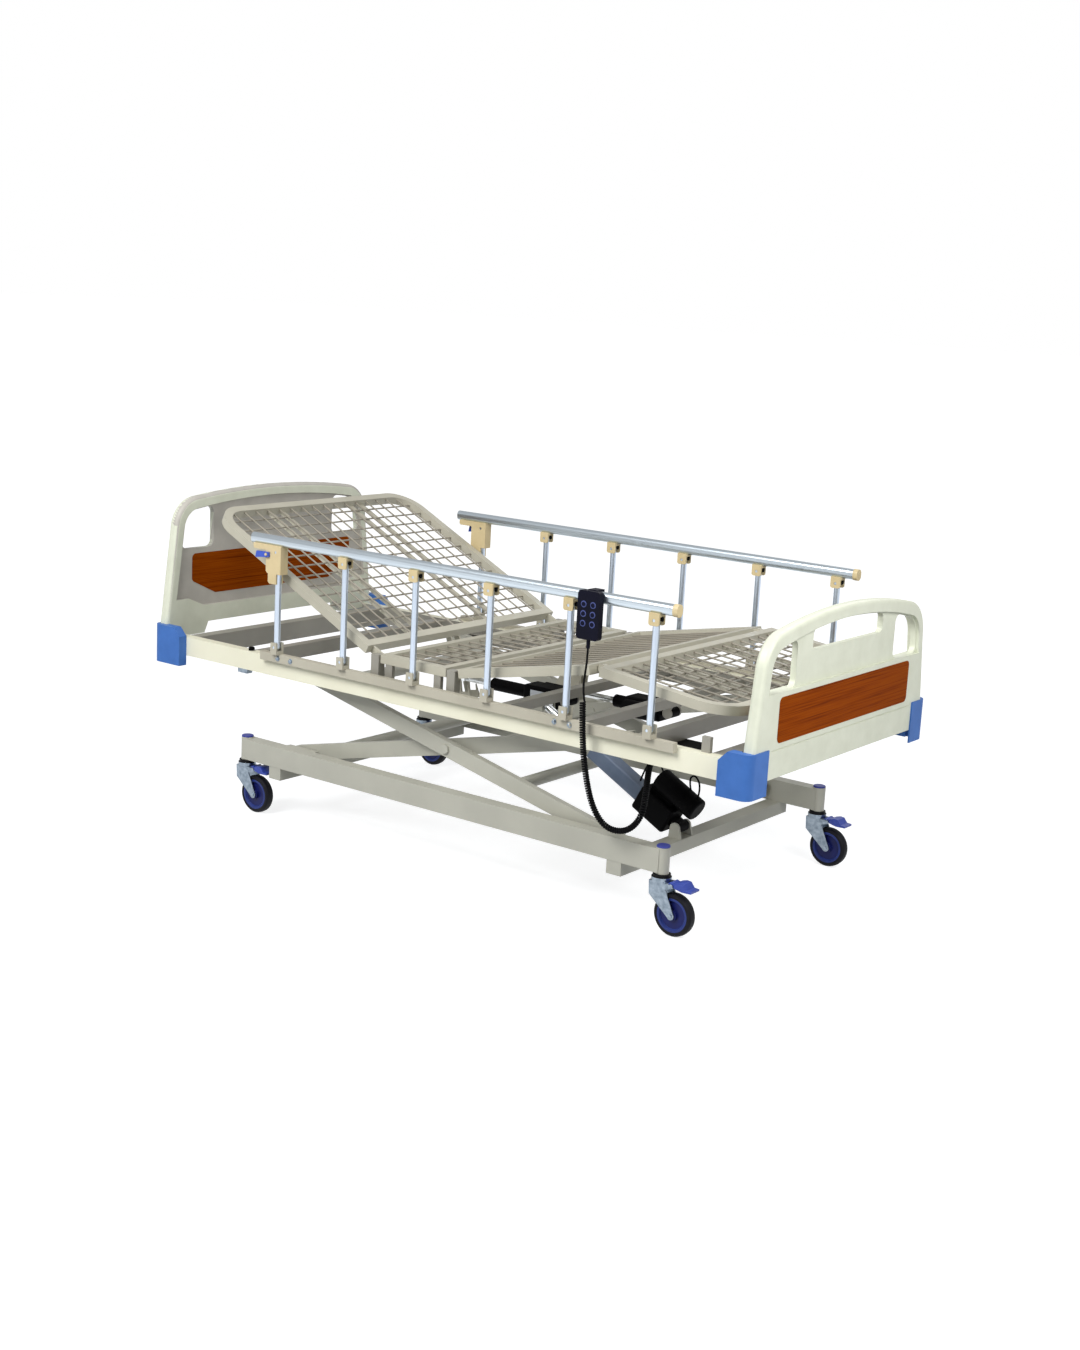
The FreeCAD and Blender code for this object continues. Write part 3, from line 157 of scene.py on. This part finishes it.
def blend_colours(tree, factor, stops):
    """A colour ramp through sRGB hex colours at the given places."""
    ramp = add_node(tree, "ShaderNodeValToRGB", {"Fac": factor})
    points = ramp.color_ramp.elements
    while len(points) < len(stops):
        points.new(0.5)
    for point, (place, colour) in zip(points, stops):
        point.position = place
        point.color = linear(colour)
    return ramp.outputs["Color"]


def surface_relief(tree, height, depth):
    """A bump of a given depth in metres, on edges that look rounded."""
    rounded = add_node(tree, "ShaderNodeBevel", {"Radius": edge_round}, samples=4)
    return add_node(tree, "ShaderNodeBump", {
        "Height": height,
        "Distance": depth,
        "Strength": 1.0,
        "Normal": rounded.outputs["Normal"],
    }).outputs["Normal"]


def finish_material(tree, **inputs):
    """The surface itself: a principled shader with the given inputs, joined to the output."""
    shader = add_node(tree, "ShaderNodeBsdfPrincipled", {
        key.replace("_", " ").title().replace("Ior", "IOR"): value for key, value in inputs.items()
    })
    add_node(tree, "ShaderNodeOutputMaterial", {"Surface": shader.outputs[0]})


def moulded_plastic(name, colour, shade, roughness=0.42, ior=1.49, shine=0.5):
    """A moulded thermoplastic: a satin sheen and a slight mottle, with the grain of its tool.

    The grain of a real tool is about 0.2 mm and wouldn't show, so it is drawn coarser.
    """
    material, tree = start_material(name)
    tone = blend_colours(tree, grain(tree, moulding_mottle, 3.0), [(0.3, shade), (0.7, colour)])
    relief = surface_relief(tree, grain(tree, moulding_grain, 1.0), moulding_relief)
    finish_material(
        tree,
        base_color=tone,
        roughness=roughness,
        ior=ior,
        specular_ior_level=shine,
        normal=relief,
    )
    return material


def cord_mesh(name, points, thickness, smoothness):
    """The mesh of a smooth open spline, round in section, or its bare line at no thickness."""
    curve = bpy.data.curves.new(name + "_spline", "CURVE")
    curve.dimensions = "3D"
    curve.bevel_depth = thickness / 2
    curve.bevel_resolution = 3
    curve.use_fill_caps = True
    spline = curve.splines.new("NURBS")
    spline.points.add(len(points) - 1)
    for point, place in zip(spline.points, points):
        point.co = (*place, 1.0)
    spline.order_u = 3
    spline.use_endpoint_u = True
    spline.resolution_u = smoothness
    shaped = bpy.data.objects.new(name + "_spline", curve)
    bpy.context.scene.collection.objects.link(shaped)
    bpy.context.view_layer.update()
    mesh = bpy.data.meshes.new_from_object(shaped)
    bpy.data.objects.remove(shaped)
    for face in mesh.polygons:
        face.use_smooth = True
    return mesh


def cord_line(name, points, smoothness):
    """Points along such a spline, in order."""
    return [vertex.co.copy() for vertex in cord_mesh(name, points, 0, smoothness).vertices]


def curl_along(line, radius, pitch):
    """Control points of a helix round a line, that comes back to it at its end."""
    side = Vector((0, 1, 0))
    travelled = 0.0
    count = 0
    places = []
    for start, end in zip(line, line[1:]):
        stretch = (end - start).length
        if stretch < shortest_step:
            continue
        ahead = (end - start) / stretch
        side = (side - side.dot(ahead) * ahead).normalized()
        while count * pitch / steps_a_turn < travelled + stretch:
            station = count * pitch / steps_a_turn
            turned = 2 * math.pi * count / steps_a_turn
            across = side * math.cos(turned) + ahead.cross(side) * math.sin(turned)
            places.append(start + (station - travelled) * ahead + radius * across)
            count += 1
        travelled += stretch
    places.append(line[-1])
    return places


def lead_piece(name, points):
    """One length of the lead as a mesh tube."""
    piece = bpy.data.objects.new(name, cord_mesh(name, points, lead_diameter, skin_steps))
    bpy.context.scene.collection.objects.link(piece)
    piece.data.materials.append(lead_vinyl)
    line = cord_line(name, points, measured_steps)
    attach(piece, "deck")
    return piece


# Plasticised PVC is duller than the hard plastics, and its black takes hardly any shine.
lead_vinyl = moulded_plastic("moulded_soft_vinyl_black", "#050507", "#030304", 0.55, 1.5, 0.08)
curl_line = cord_line("curl_route", curl_points, route_steps)
turns = curl_along(curl_line, (curl_outside - lead_diameter) / 2, curl_pitch)
lowest = min(range(len(turns)), key=lambda n: turns[n].z + abs(turns[n].x - bight_x))
hanging_lead = lead_piece("handset_lead_hanging", straight_points[:-1] + turns[:lowest + 1])
rising_lead = lead_piece("handset_lead_rising", turns[lowest:])
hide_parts("cord")
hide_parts("cord_coil")
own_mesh(hanging_lead)


# The studio: a white floor that keeps a soft shadow, a white backdrop that only the camera and
# the shiny parts see, and large soft lamps at a level where colours render as written.
floor_half = 60.0
backdrop_strength = 1.0
room_strength = 0.26
mirrored_strength = 0.6
near_glow = 0.78
near_reach = 1.5
far_glow = 0.95
far_reach = 5.0
lamp_aim = Vector((0, 0, 0.5))


def background(tree, colour, strength):
    """One even surround of a given colour and strength."""
    return add_node(tree, "ShaderNodeBackground", {"Color": linear(colour), "Strength": strength}).outputs[0]


def soft_lamp(name, heading, distance, height, size, power):
    """A square soft box that looks at the bed, with its heading in degrees from the near side."""
    lamp_data = bpy.data.lights.new(name, "AREA")
    lamp_data.size = size
    lamp_data.energy = power
    lamp = bpy.data.objects.new(name, lamp_data)
    bpy.context.scene.collection.objects.link(lamp)
    way = math.radians(heading)
    lamp.location = (distance * math.sin(way), -distance * math.cos(way), height)
    lamp.rotation_euler = (lamp_aim - lamp.location).to_track_quat("-Z", "Y").to_euler()


bpy.context.scene.view_settings.view_transform = "Standard"
world = bpy.data.worlds.new("studio")
bpy.context.scene.world = world
world.use_nodes = True
tree = world.node_tree
tree.nodes.clear()
rays = add_node(tree, "ShaderNodeLightPath")
unseen = add_node(tree, "ShaderNodeMixShader", {
    0: rays.outputs["Is Glossy Ray"],
    1: background(tree, "#F4F6FA", room_strength),
    2: background(tree, "#FFFFFF", mirrored_strength),
})
mixed = add_node(tree, "ShaderNodeMixShader", {
    0: rays.outputs["Is Camera Ray"],
    1: unseen.outputs[0],
    2: background(tree, "#FFFFFF", backdrop_strength),
})
add_node(tree, "ShaderNodeOutputWorld", {"Surface": mixed.outputs[0]})

# Matt floor paint, darker than it looks: what the camera sees of it also glows, so the ground
# reads white round the bed and a little greyer in the bed's own shadow.
floor_paint, tree = start_material("white_floor_paint")
rays = add_node(tree, "ShaderNodeLightPath")
seen = add_node(tree, "ShaderNodeMath", {
    0: rays.outputs["Is Camera Ray"],
    1: rays.outputs["Is Glossy Ray"],
}, operation="MAXIMUM")
place = add_node(tree, "ShaderNodeNewGeometry")
away = add_node(tree, "ShaderNodeVectorMath", {0: place.outputs["Position"]}, operation="LENGTH")
glow = add_node(tree, "ShaderNodeMapRange", {
    "Value": away.outputs["Value"],
    "From Min": near_reach,
    "From Max": far_reach,
    "To Min": near_glow,
    "To Max": far_glow,
})
shown = add_node(tree, "ShaderNodeMath", {0: seen.outputs[0], 1: glow.outputs[0]}, operation="MULTIPLY")
paint = add_node(tree, "ShaderNodeBsdfDiffuse", {"Color": linear("#B4B6B8")})
lit = add_node(tree, "ShaderNodeEmission", {"Color": linear("#FFFFFF"), "Strength": shown.outputs[0]})
both = add_node(tree, "ShaderNodeAddShader", {0: paint.outputs[0], 1: lit.outputs[0]})
add_node(tree, "ShaderNodeOutputMaterial", {"Surface": both.outputs[0]})
floor_mesh = bpy.data.meshes.new("floor")
corners = [(x * floor_half, y * floor_half, 0.0) for x, y in ((-1, -1), (1, -1), (1, 1), (-1, 1))]
floor_mesh.from_pydata(corners, [], [(0, 1, 2, 3)])
floor_mesh.materials.append(floor_paint)
floor = bpy.data.objects.new("floor", floor_mesh)
bpy.context.scene.collection.objects.link(floor)

soft_lamp("key_lamp", heading=-8, distance=3.4, height=3.3, size=2.2, power=165)
soft_lamp("foot_lamp", heading=76, distance=2.7, height=2.0, size=1.2, power=42)
soft_lamp("back_lamp", heading=176, distance=3.4, height=3.4, size=2.6, power=34)


# The base frame: rectangular steel tube, welded, with round posts at its corners that hold the
# castors' stems. It is sprayed with powder paint and baked, which leaves a satin skin with a faint
# orange peel. Its stone colour, greyer than the deck's cream, is painted shade.
coat_mottle = 160.0 / 1000
peel_grain = 2.2 / 1000
peel_depth = 0.05 / 1000


def powder_coated_steel(name, shade, colour):
    """Steel tube under baked polyester powder: satin, with a soft orange peel."""
    material, tree = start_material(name)
    tone = blend_colours(tree, grain(tree, coat_mottle, 3.0), [(0.3, shade), (0.7, colour)])
    relief = surface_relief(tree, grain(tree, peel_grain), peel_depth)
    finish_material(tree, base_color=tone, roughness=0.4, ior=1.5, normal=relief)
    return material


def dress(node, material, *regions):
    """Gives a CAD node its material, and another one to the faces that each region picks."""
    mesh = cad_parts[node].data
    mesh.materials.clear()
    mesh.materials.append(material)
    for face in mesh.polygons:
        face.material_index = 0
    for index, (other, picks) in enumerate(regions, 1):
        mesh.materials.append(other)
        for face in mesh.polygons:
            if picks(face.center):
                face.material_index = index


# Painted shade: the stone colour stands in for the shade that falls on the base under the deck.
stone_shade_coat = powder_coated_steel("powder_coated_steel_stone_shade", "#AEADA1", "#B9B8AB")
dress("base_frame", stone_shade_coat)


# The caps that close the tops of the castor posts: moulded polypropylene, dark blue, each with
# a short plug that is pushed into the post. Polypropylene has an even, slightly greasy sheen.
blue_polypropylene = moulded_plastic("moulded_polypropylene_blue", "#35409A", "#2C3586")
dress("base_caps", blue_polypropylene)


# The castors: a pressed steel fork with bright zinc plate, a black dust seal under the post, a
# navy nylon wheel core with a paler ring, a black rubber tread and a blue brake pedal.
ring_inner = 0.030
tread_inner = 0.0445
tread_lap = 0.0008
castor_trail = 0.045
stem_height = 0.045
stem_radius = 0.0108
seal_depth = 0.0080
seal_lip = 0.0004
zinc_spangle = 12.0 / 1000
pressing_grain = 1.5 / 1000
pressing_depth = 0.03 / 1000
tread_mottle = 20.0 / 1000
tread_grain = 1.2 / 1000
tread_depth = 0.08 / 1000


def zinc_plated_steel():
    """Pressed steel with bright zinc plate: a cool, slightly mottled shine."""
    material, tree = start_material("zinc_plated_steel")
    tone = blend_colours(tree, grain(tree, zinc_spangle, 4.0), [(0.3, "#717D89"), (0.7, "#9DA9B5")])
    relief = surface_relief(tree, grain(tree, pressing_grain, 2.0), pressing_depth)
    finish_material(tree, base_color=tone, metallic=1.0, roughness=0.3, normal=relief)
    return material


def rubber_tread():
    """Thermoplastic rubber, dull and nearly black."""
    material, tree = start_material("moulded_rubber_tread")
    tone = blend_colours(tree, grain(tree, tread_mottle, 3.0), [(0.3, "#040409"), (0.7, "#0B0B14")])
    relief = surface_relief(tree, grain(tree, tread_grain), tread_depth)
    finish_material(tree, base_color=tone, roughness=0.62, ior=1.5, specular_ior_level=0.2, normal=relief)
    return material


def dress_castor(name):
    """The three parts of one castor, each with the materials that its faces show."""
    low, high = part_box("castor_wheel_" + name)
    axle = (low + high) / 2
    seal_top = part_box("castor_fork_" + name)[1].z - stem_height

    def from_axle(point):
        return math.hypot(point.x - axle.x, point.z - axle.z)

    def on_seal(point):
        from_stem = math.hypot(point.x - (axle.x - castor_trail), point.y - axle.y)
        return seal_top - seal_depth < point.z < seal_top + seal_lip and from_stem > stem_radius

    dress(
        "castor_wheel_" + name,
        navy_nylon,
        (pale_navy_nylon, lambda point: ring_inner < from_axle(point) < tread_inner),
        (tread, lambda point: from_axle(point) > tread_inner - tread_lap),
    )
    dress("castor_fork_" + name, zinc, (black_seal, on_seal))
    dress("castor_pedal_" + name, pedal_blue)


zinc = zinc_plated_steel()
tread = rubber_tread()
# Nylon from a smooth tool: deep colour under a weak, even sheen. The rubber seal is duller, and
# the pedal is glossier.
navy_nylon = moulded_plastic("moulded_nylon_navy", "#141D62", "#0F164C", 0.4, 1.5, 0.25)
pale_navy_nylon = moulded_plastic("moulded_nylon_pale_navy", "#2C3C80", "#243270", 0.4, 1.5, 0.25)
black_seal = moulded_plastic("moulded_seal_black", "#08080A", "#050507", 0.5, 1.5, 0.15)
pedal_blue = moulded_plastic("moulded_nylon_blue", "#2C46A8", "#243A92", 0.4, 1.53)
for end in ("head", "foot"):
    for side in ("near", "far"):
        dress_castor(side + "_" + end)


# The scissor lift: two pairs of steel arms that cross at middle pins, with round tubes between
# them and rollers that run in channels on the base and the deck. Painted as the base is, in its
# stone colour of painted shade.
# The arms share the base's stone colour, which is painted shade.
dress("lift_outer_arms", stone_shade_coat)
dress("lift_inner_arms", stone_shade_coat)


# The actuators: black glass-filled nylon housings screwed together, with an outer tube and a
# polished steel rod that a spindle drives in and out. The lift drive's tube is aluminium,
# painted grey-blue.
turning_grain = 0.6 / 1000
turning_depth = 0.004 / 1000
lift_pin = Vector((0.6365, -0.110, 0.183))
lift_way = Vector((-0.883651, 0.0, 0.468147))
lift_housing_end = 0.141


def chromed_steel():
    """Ground and chromed rod: a clear mirror with the finest turning marks, drawn coarser."""
    material, tree = start_material("chromed_steel_rod")
    relief = surface_relief(tree, grain(tree, turning_grain), turning_depth)
    finish_material(tree, base_color=linear("#D9DCDD"), metallic=1.0, roughness=0.16, normal=relief)
    return material


def on_lift_tube(point):
    """Whether a point of the lift drive lies past its housing, on the outer tube."""
    return (point - lift_pin).dot(lift_way) > lift_housing_end


# Glass-filled nylon is matt and takes all light, so the drives read as flat black.
black_nylon = moulded_plastic("moulded_glass_filled_nylon_black", "#040405", "#020203", 0.6, 1.5, 0.06)
# Paint on aluminium tube: as smooth as a moulded skin, a little glossier than the nylon.
painted_aluminium = moulded_plastic("painted_aluminium_grey_blue", "#74839A", "#67768E", 0.42, 1.5)
rod_chrome = chromed_steel()
for node in ("back_motor", "knee_motor", "control_box"):
    dress(node, black_nylon)
dress("lift_motor", black_nylon, (painted_aluminium, on_lift_tube))
for node in ("lift_rod", "back_rod", "knee_rod"):
    dress(node, rod_chrome)


# The deck frame: two long rectangular tubes with cross tubes, hinge lugs and board sockets,
# welded and powder coated in cream. Between and above the long tubes the coat is drawn darker,
# as painted shade. The mattress sections hinge on it: bent tube with welded wire, drawn in a
# paler and a darker coat, both darker than the cream as painted shade.
wire_thickness = 0.008
rail_inner_face = 0.4112
rail_top_face = 0.4905
corner_grid = 100000


def loose_parts(mesh):
    """The faces of each solid in a mesh: corners less than 0.01 mm apart count as one."""
    corner_of = {}
    leader = []
    for vertex in mesh.vertices:
        key = tuple(round(value * corner_grid) for value in vertex.co)
        leader.append(corner_of.setdefault(key, vertex.index))

    def head(index):
        while leader[index] != index:
            leader[index] = leader[leader[index]]
            index = leader[index]
        return index

    for face in mesh.polygons:
        first = head(face.vertices[0])
        for vertex in face.vertices[1:]:
            leader[head(vertex)] = first
    parts = {}
    for face in mesh.polygons:
        parts.setdefault(head(face.vertices[0]), []).append(face)
    return parts.values()


def dress_wires(node, material):
    """Gives the solids of a node that are as thin as wire their own material."""
    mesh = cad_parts[node].data
    mesh.materials.append(material)
    for faces in loose_parts(mesh):
        corners = [mesh.vertices[index].co for face in faces for index in face.vertices]
        sizes = [max(c[axis] for c in corners) - min(c[axis] for c in corners) for axis in range(3)]
        if min(sizes) < wire_thickness:
            for face in faces:
                face.material_index = len(mesh.materials) - 1


def off_rail_sides(point):
    """Whether a point of the deck frame lies between the long tubes or on top of them."""
    return abs(point.y) < rail_inner_face or point.z > rail_top_face


# One polyester powder in four shades: all are satin, and only the colour sets them apart. Cream
# is the coat's own colour; the three darker ones are painted shade.
cream_coat = powder_coated_steel("powder_coated_steel_cream", "#E9E6CE", "#F1EFD9")
painted_shade_coat = powder_coated_steel("powder_coated_steel_painted_shade", "#8E8B82", "#9A978D")
section_shade_coat = powder_coated_steel("powder_coated_steel_section_shade", "#B2AE9D", "#BEBAA9")
wire_shade_coat = powder_coated_steel("powder_coated_wire_shade", "#8B8577", "#9C9587")
# Painted shade: the darker coat between and above the long tubes.
dress("deck_frame", cream_coat, (painted_shade_coat, off_rail_sides))
# Painted shade: the sections' tubes and wires are drawn darker than the deck's cream, the wires darkest.
for node in ("backrest_section", "seat_section", "thigh_section", "leg_section"):
    dress(node, section_shade_coat)
    dress_wires(node, wire_shade_coat)


# The end boards: moulded ABS shells with a satin face, a deep rim and handle holes. The head
# board's inner panel is drawn a warm grey, which is painted shade.
head_panel_back = -1.0150
head_panel_front = -0.9990
panel_half_width = 0.425


def on_head_panel(point):
    """Whether a point of the head board lies on its inner panel."""
    return head_panel_back < point.x < head_panel_front and abs(point.y) < panel_half_width


# ABS from a fine-grained tool: satin, so that the rims show soft bands of light.
board_abs = moulded_plastic("moulded_abs_cream", "#DFE2CF", "#D6D9C5", 0.42, 1.5)
# Painted shade: the warm grey of the head board's inner panel; the board itself is cream.
panel_shade_abs = moulded_plastic("moulded_abs_grey_painted_shade", "#BDB9B0", "#B3AFA6", 0.5, 1.5)
dress("head_board", board_abs, (panel_shade_abs, on_head_panel))
dress("foot_board", board_abs)


# The board inlays: paper printed with cherry grain under a clear melamine film, glued into a
# recess. The film is matt, so the print keeps its full colour from every side.
broad_grain = 8.0 / 1000
fine_grain = 2.5 / 1000
fine_run = 110
broad_run = fine_run / 3
fine_share = 0.68


def printed_laminate():
    """Cherry grain printed on paper, under clear melamine: fine dark lines along the board."""
    material, tree = start_material("printed_cherry_laminate")
    broad = grain(tree, broad_grain, 3.0, (1, broad_run, 1))
    fine = grain(tree, fine_grain, 4.0, (1, fine_run, 1))
    both = add_node(tree, "ShaderNodeMix", {"Factor": fine_share, "A": broad, "B": fine}, data_type="FLOAT")
    tone = blend_colours(tree, both.outputs[0], [
        (0.34, "#672601"),
        (0.47, "#873A03"),
        (0.56, "#964505"),
        (0.68, "#763001"),
    ])
    finish_material(tree, base_color=tone, roughness=0.4, ior=1.5, specular_ior_level=0.01)
    return material


dress("board_inlays", printed_laminate())


# The corner bumpers: thick moulded polyethylene wraps in pale blue, bolted round the ends of
# the deck's long tubes. Polyethylene is waxy, so its highlights are broad and weak.
bumper_blue = moulded_plastic("moulded_polyethylene_blue", "#4272BC", "#3B69B0", 0.5, 1.5, 0.3)
dress("board_bumpers", bumper_blue)


# The side rails: painted steel mounting bars, posts of aluminium tube, an oval top tube with a
# satin anodised skin, beige nylon knuckles and latch, and a blue latch lever.
drawn_line = 0.5 / 1000
drawn_depth = 0.008 / 1000
drawn_run = 120
posts_a_side = 6


def anodised_aluminium(name, stretch, colour, shade):
    """Drawn aluminium with a clear anodised skin: fine lines along the tube, drawn coarser."""
    material, tree = start_material(name)
    lines = grain(tree, drawn_line, 2.0, stretch)
    tone = blend_colours(tree, lines, [(0.3, shade), (0.7, colour)])
    relief = surface_relief(tree, lines, drawn_depth)
    finish_material(tree, base_color=tone, metallic=1.0, roughness=0.28, normal=relief)
    return material


tube_aluminium = anodised_aluminium("anodised_aluminium_tube", (drawn_run, 1, 1), "#CBD5DC", "#BFCAD3")
post_aluminium = anodised_aluminium("anodised_aluminium_post", (1, 1, drawn_run), "#CDD8E6", "#C3CFDE")
# Nylon knuckles are satin and a little uneven in colour, and the lever is glossier from use.
beige_nylon = moulded_plastic("moulded_nylon_beige", "#D8C59A", "#CCB98C", 0.45, 1.5)
lever_blue = moulded_plastic("moulded_nylon_lever_blue", "#3355C0", "#2A47A6", 0.36, 1.53)
bar_coat = powder_coated_steel("powder_coated_steel_warm_grey", "#B2AD9C", "#BDB8A7")
dress("rail_mounts", bar_coat)
for side in ("near", "far"):
    dress(side + "_top_rail", tube_aluminium)
    dress(side + "_fittings", beige_nylon)
    dress(side + "_lever", lever_blue)
    for number in range(1, posts_a_side + 1):
        dress(side + "_post_" + str(number), post_aluminium)


# The handset: a slim shell of dark moulded ABS that hangs on the rail by its hook, with six
# soft silicone keys.
key_count = 6
# Dark ABS with a textured face, and silicone, which is duller still: both stay near black.
handset_abs = moulded_plastic("moulded_abs_near_black", "#08091C", "#060715", 0.45, 1.5, 0.1)
silicone_key = moulded_plastic("moulded_silicone_grey", "#0F1128", "#0C0E22", 0.55, 1.45, 0.1)
dress("handset", handset_abs)
for number in range(1, key_count + 1):
    dress("button_" + str(number), silicone_key)


# The keys' outlines: one pale ring of ink round each key, printed on the handset's face with a
# screen and raised a little above it.
ring_bore = 7.4 / 1000
ring_outside = 8.3 / 1000
ring_height = 0.25 / 1000
key_proud = 0.002


def turned_piece(name, material, body, place, way, profile, sides=24):
    """A piece turned about an axis. Its profile is radius and height pairs from its foot up."""
    shaped = bmesh.new()
    rings = []
    for radius, height in profile:
        ring = []
        for number in range(sides):
            angle = 2 * math.pi * number / sides
            ring.append(shaped.verts.new((radius * math.cos(angle), radius * math.sin(angle), height)))
        rings.append(ring)
    for lower, upper in zip(rings, rings[1:]):
        for number in range(sides):
            after = (number + 1) % sides
            shaped.faces.new((lower[number], lower[after], upper[after], upper[number]))
    shaped.faces.new(list(reversed(rings[0])))
    shaped.faces.new(rings[-1])
    mesh = bpy.data.meshes.new(name)
    shaped.to_mesh(mesh)
    shaped.free()
    mesh.materials.append(material)
    piece = bpy.data.objects.new(name, mesh)
    bpy.context.scene.collection.objects.link(piece)
    piece.rotation_mode = "QUATERNION"
    piece.rotation_quaternion = Vector((0, 0, 1)).rotation_difference(Vector(way))
    piece.location = place
    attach(piece, body)


outline_profile = [
    (ring_bore, 0),
    (ring_outside, 0),
    (ring_outside, ring_height),
    (ring_bore, ring_height),
]
# Screen ink dries matt, so the rings keep one colour.
print_blue = moulded_plastic("printed_ink_pale_blue", "#59639A", "#505A90", 0.6, 1.45, 0.1)
for number in range(1, key_count + 1):
    low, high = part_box("button_" + str(number))
    foot = ((low.x + high.x) / 2, low.y + key_proud, (low.z + high.z) / 2)
    name = "key_outline_" + str(number)
    turned_piece(name, print_blue, "near_rail", foot, (0, -1, 0), outline_profile, sides=32)


# The bolts that hold the side rails' mounting bars: domed zinc heads on washers, driven through
# the bar into the deck rail.
bar_face = 0.4590
bolt_level = 0.4925
bolt_places = (-0.5250, -0.4750, 0.4560, 0.5040)
washer_profile = [
    (0.0078, 0),
    (0.0078, 0.0010),
    (0.0074, 0.0013),
]
bolt_profile = [
    (0.0058, 0.0012),
    (0.0058, 0.0030),
    (0.0050, 0.0046),
    (0.0030, 0.0056),
]
for side, across in (("near", -1), ("far", 1)):
    for number, along in enumerate(bolt_places, 1):
        foot = (along, across * bar_face, bolt_level)
        way = (0, across, 0)
        turned_piece("bar_washer_%s_%d" % (side, number), zinc, "deck", foot, way, washer_profile)
        turned_piece("bar_bolt_%s_%d" % (side, number), zinc, "deck", foot, way, bolt_profile)


# The knuckles' end plugs: moulded black nylon, pressed into the side of each knuckle that faces
# the foot end.
knuckle_half = 0.0150
plug_level = 0.8010
post_line = 0.457
post_first = -0.5305
post_pitch = 0.2548
plug_profile = [
    (0.0060, -0.0010),
    (0.0060, 0.0014),
    (0.0046, 0.0024),
    (0.0010, 0.0026),
]
for side, across in (("near", -1), ("far", 1)):
    for number in range(1, posts_a_side + 1):
        name = "knuckle_plug_%s_%d" % (side, number)
        foot = (post_first + (number - 1) * post_pitch + knuckle_half, across * post_line, plug_level)
        turned_piece(name, black_nylon, side + "_rail", foot, (1, 0, 0), plug_profile)


# The lift drive's wiring: two loops of soft black vinyl wire, each with both ends moulded into
# the drive.
wire_diameter = 5.0 / 1000
wire_steps = 12
wiring_loops = {
    "drive_loop_upper": [
        (0.5670, -0.1000, 0.3080),
        (0.5590, -0.1000, 0.3380),
        (0.5300, -0.1020, 0.3440),
        (0.5080, -0.1060, 0.3120),
        (0.5000, -0.1100, 0.2780),
    ],
    "drive_loop_lower": [
        (0.6600, -0.1050, 0.2800),
        (0.6480, -0.1050, 0.3150),
        (0.6700, -0.1070, 0.3320),
        (0.6920, -0.1100, 0.3020),
        (0.6820, -0.1100, 0.2650),
    ],
}
for name, points in wiring_loops.items():
    loop = bpy.data.objects.new(name, cord_mesh(name, points, wire_diameter, wire_steps))
    loop.data.materials.append(lead_vinyl)
    bpy.context.scene.collection.objects.link(loop)
    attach(loop, "lift_drive")


# The backrest drive's sticker, a pale film glued to its flank, and two hook plates of
# zinc-plated steel, cut from sheet and fixed under the deck rails near the head end.
plate_edge = 0.6 / 1000
edge_share = 0.4
sticker_low = (0.088, -0.0733, 0.424)
sticker_high = (0.150, -0.0727, 0.454)
hook_head_end = -0.708
hook_foot_end = -0.670
hook_inner = 0.415
hook_outer = 0.437
hook_bottom = 0.4205
hook_top = 0.4345


def pressed_plate(name, material, body, low, high):
    """A flat plate between two corners, with its edges rounded."""
    shaped = bmesh.new()
    bmesh.ops.create_cube(shaped, size=1.0)
    for vertex in shaped.verts:
        vertex.co = [low[a] + (vertex.co[a] + 0.5) * (high[a] - low[a]) for a in range(3)]
    edge = min(plate_edge, edge_share * min(high[a] - low[a] for a in range(3)))
    bmesh.ops.bevel(shaped, geom=shaped.edges[:], offset=edge, segments=2, affect="EDGES")
    mesh = bpy.data.meshes.new(name)
    shaped.to_mesh(mesh)
    shaped.free()
    mesh.materials.append(material)
    plate = bpy.data.objects.new(name, mesh)
    bpy.context.scene.collection.objects.link(plate)
    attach(plate, body)


# Polyester film with a satin face, paler than all that is round it.
pale_film = moulded_plastic("polyester_film_pale_grey", "#C9CDD2", "#BCC1C7", 0.4, 1.5)
pressed_plate("drive_sticker", pale_film, "deck", sticker_low, sticker_high)
for side, across in (("near", -1), ("far", 1)):
    left, right = sorted((across * hook_inner, across * hook_outer))
    low = (hook_head_end, left, hook_bottom)
    high = (hook_foot_end, right, hook_top)
    pressed_plate("hook_plate_" + side, zinc, "deck", low, high)


# The stop on the near deck rail: a moulded black button, pushed into a hole in the tube, that
# the mattress frame would rest against.
stop_foot = (-0.6635, -0.426, 0.4895)
stop_profile = [
    (0.0090, 0),
    (0.0090, 0.0080),
    (0.0070, 0.0105),
    (0.0020, 0.0112),
]
turned_piece("deck_stop", black_nylon, "deck", stop_foot, (0, 0, 1), stop_profile)
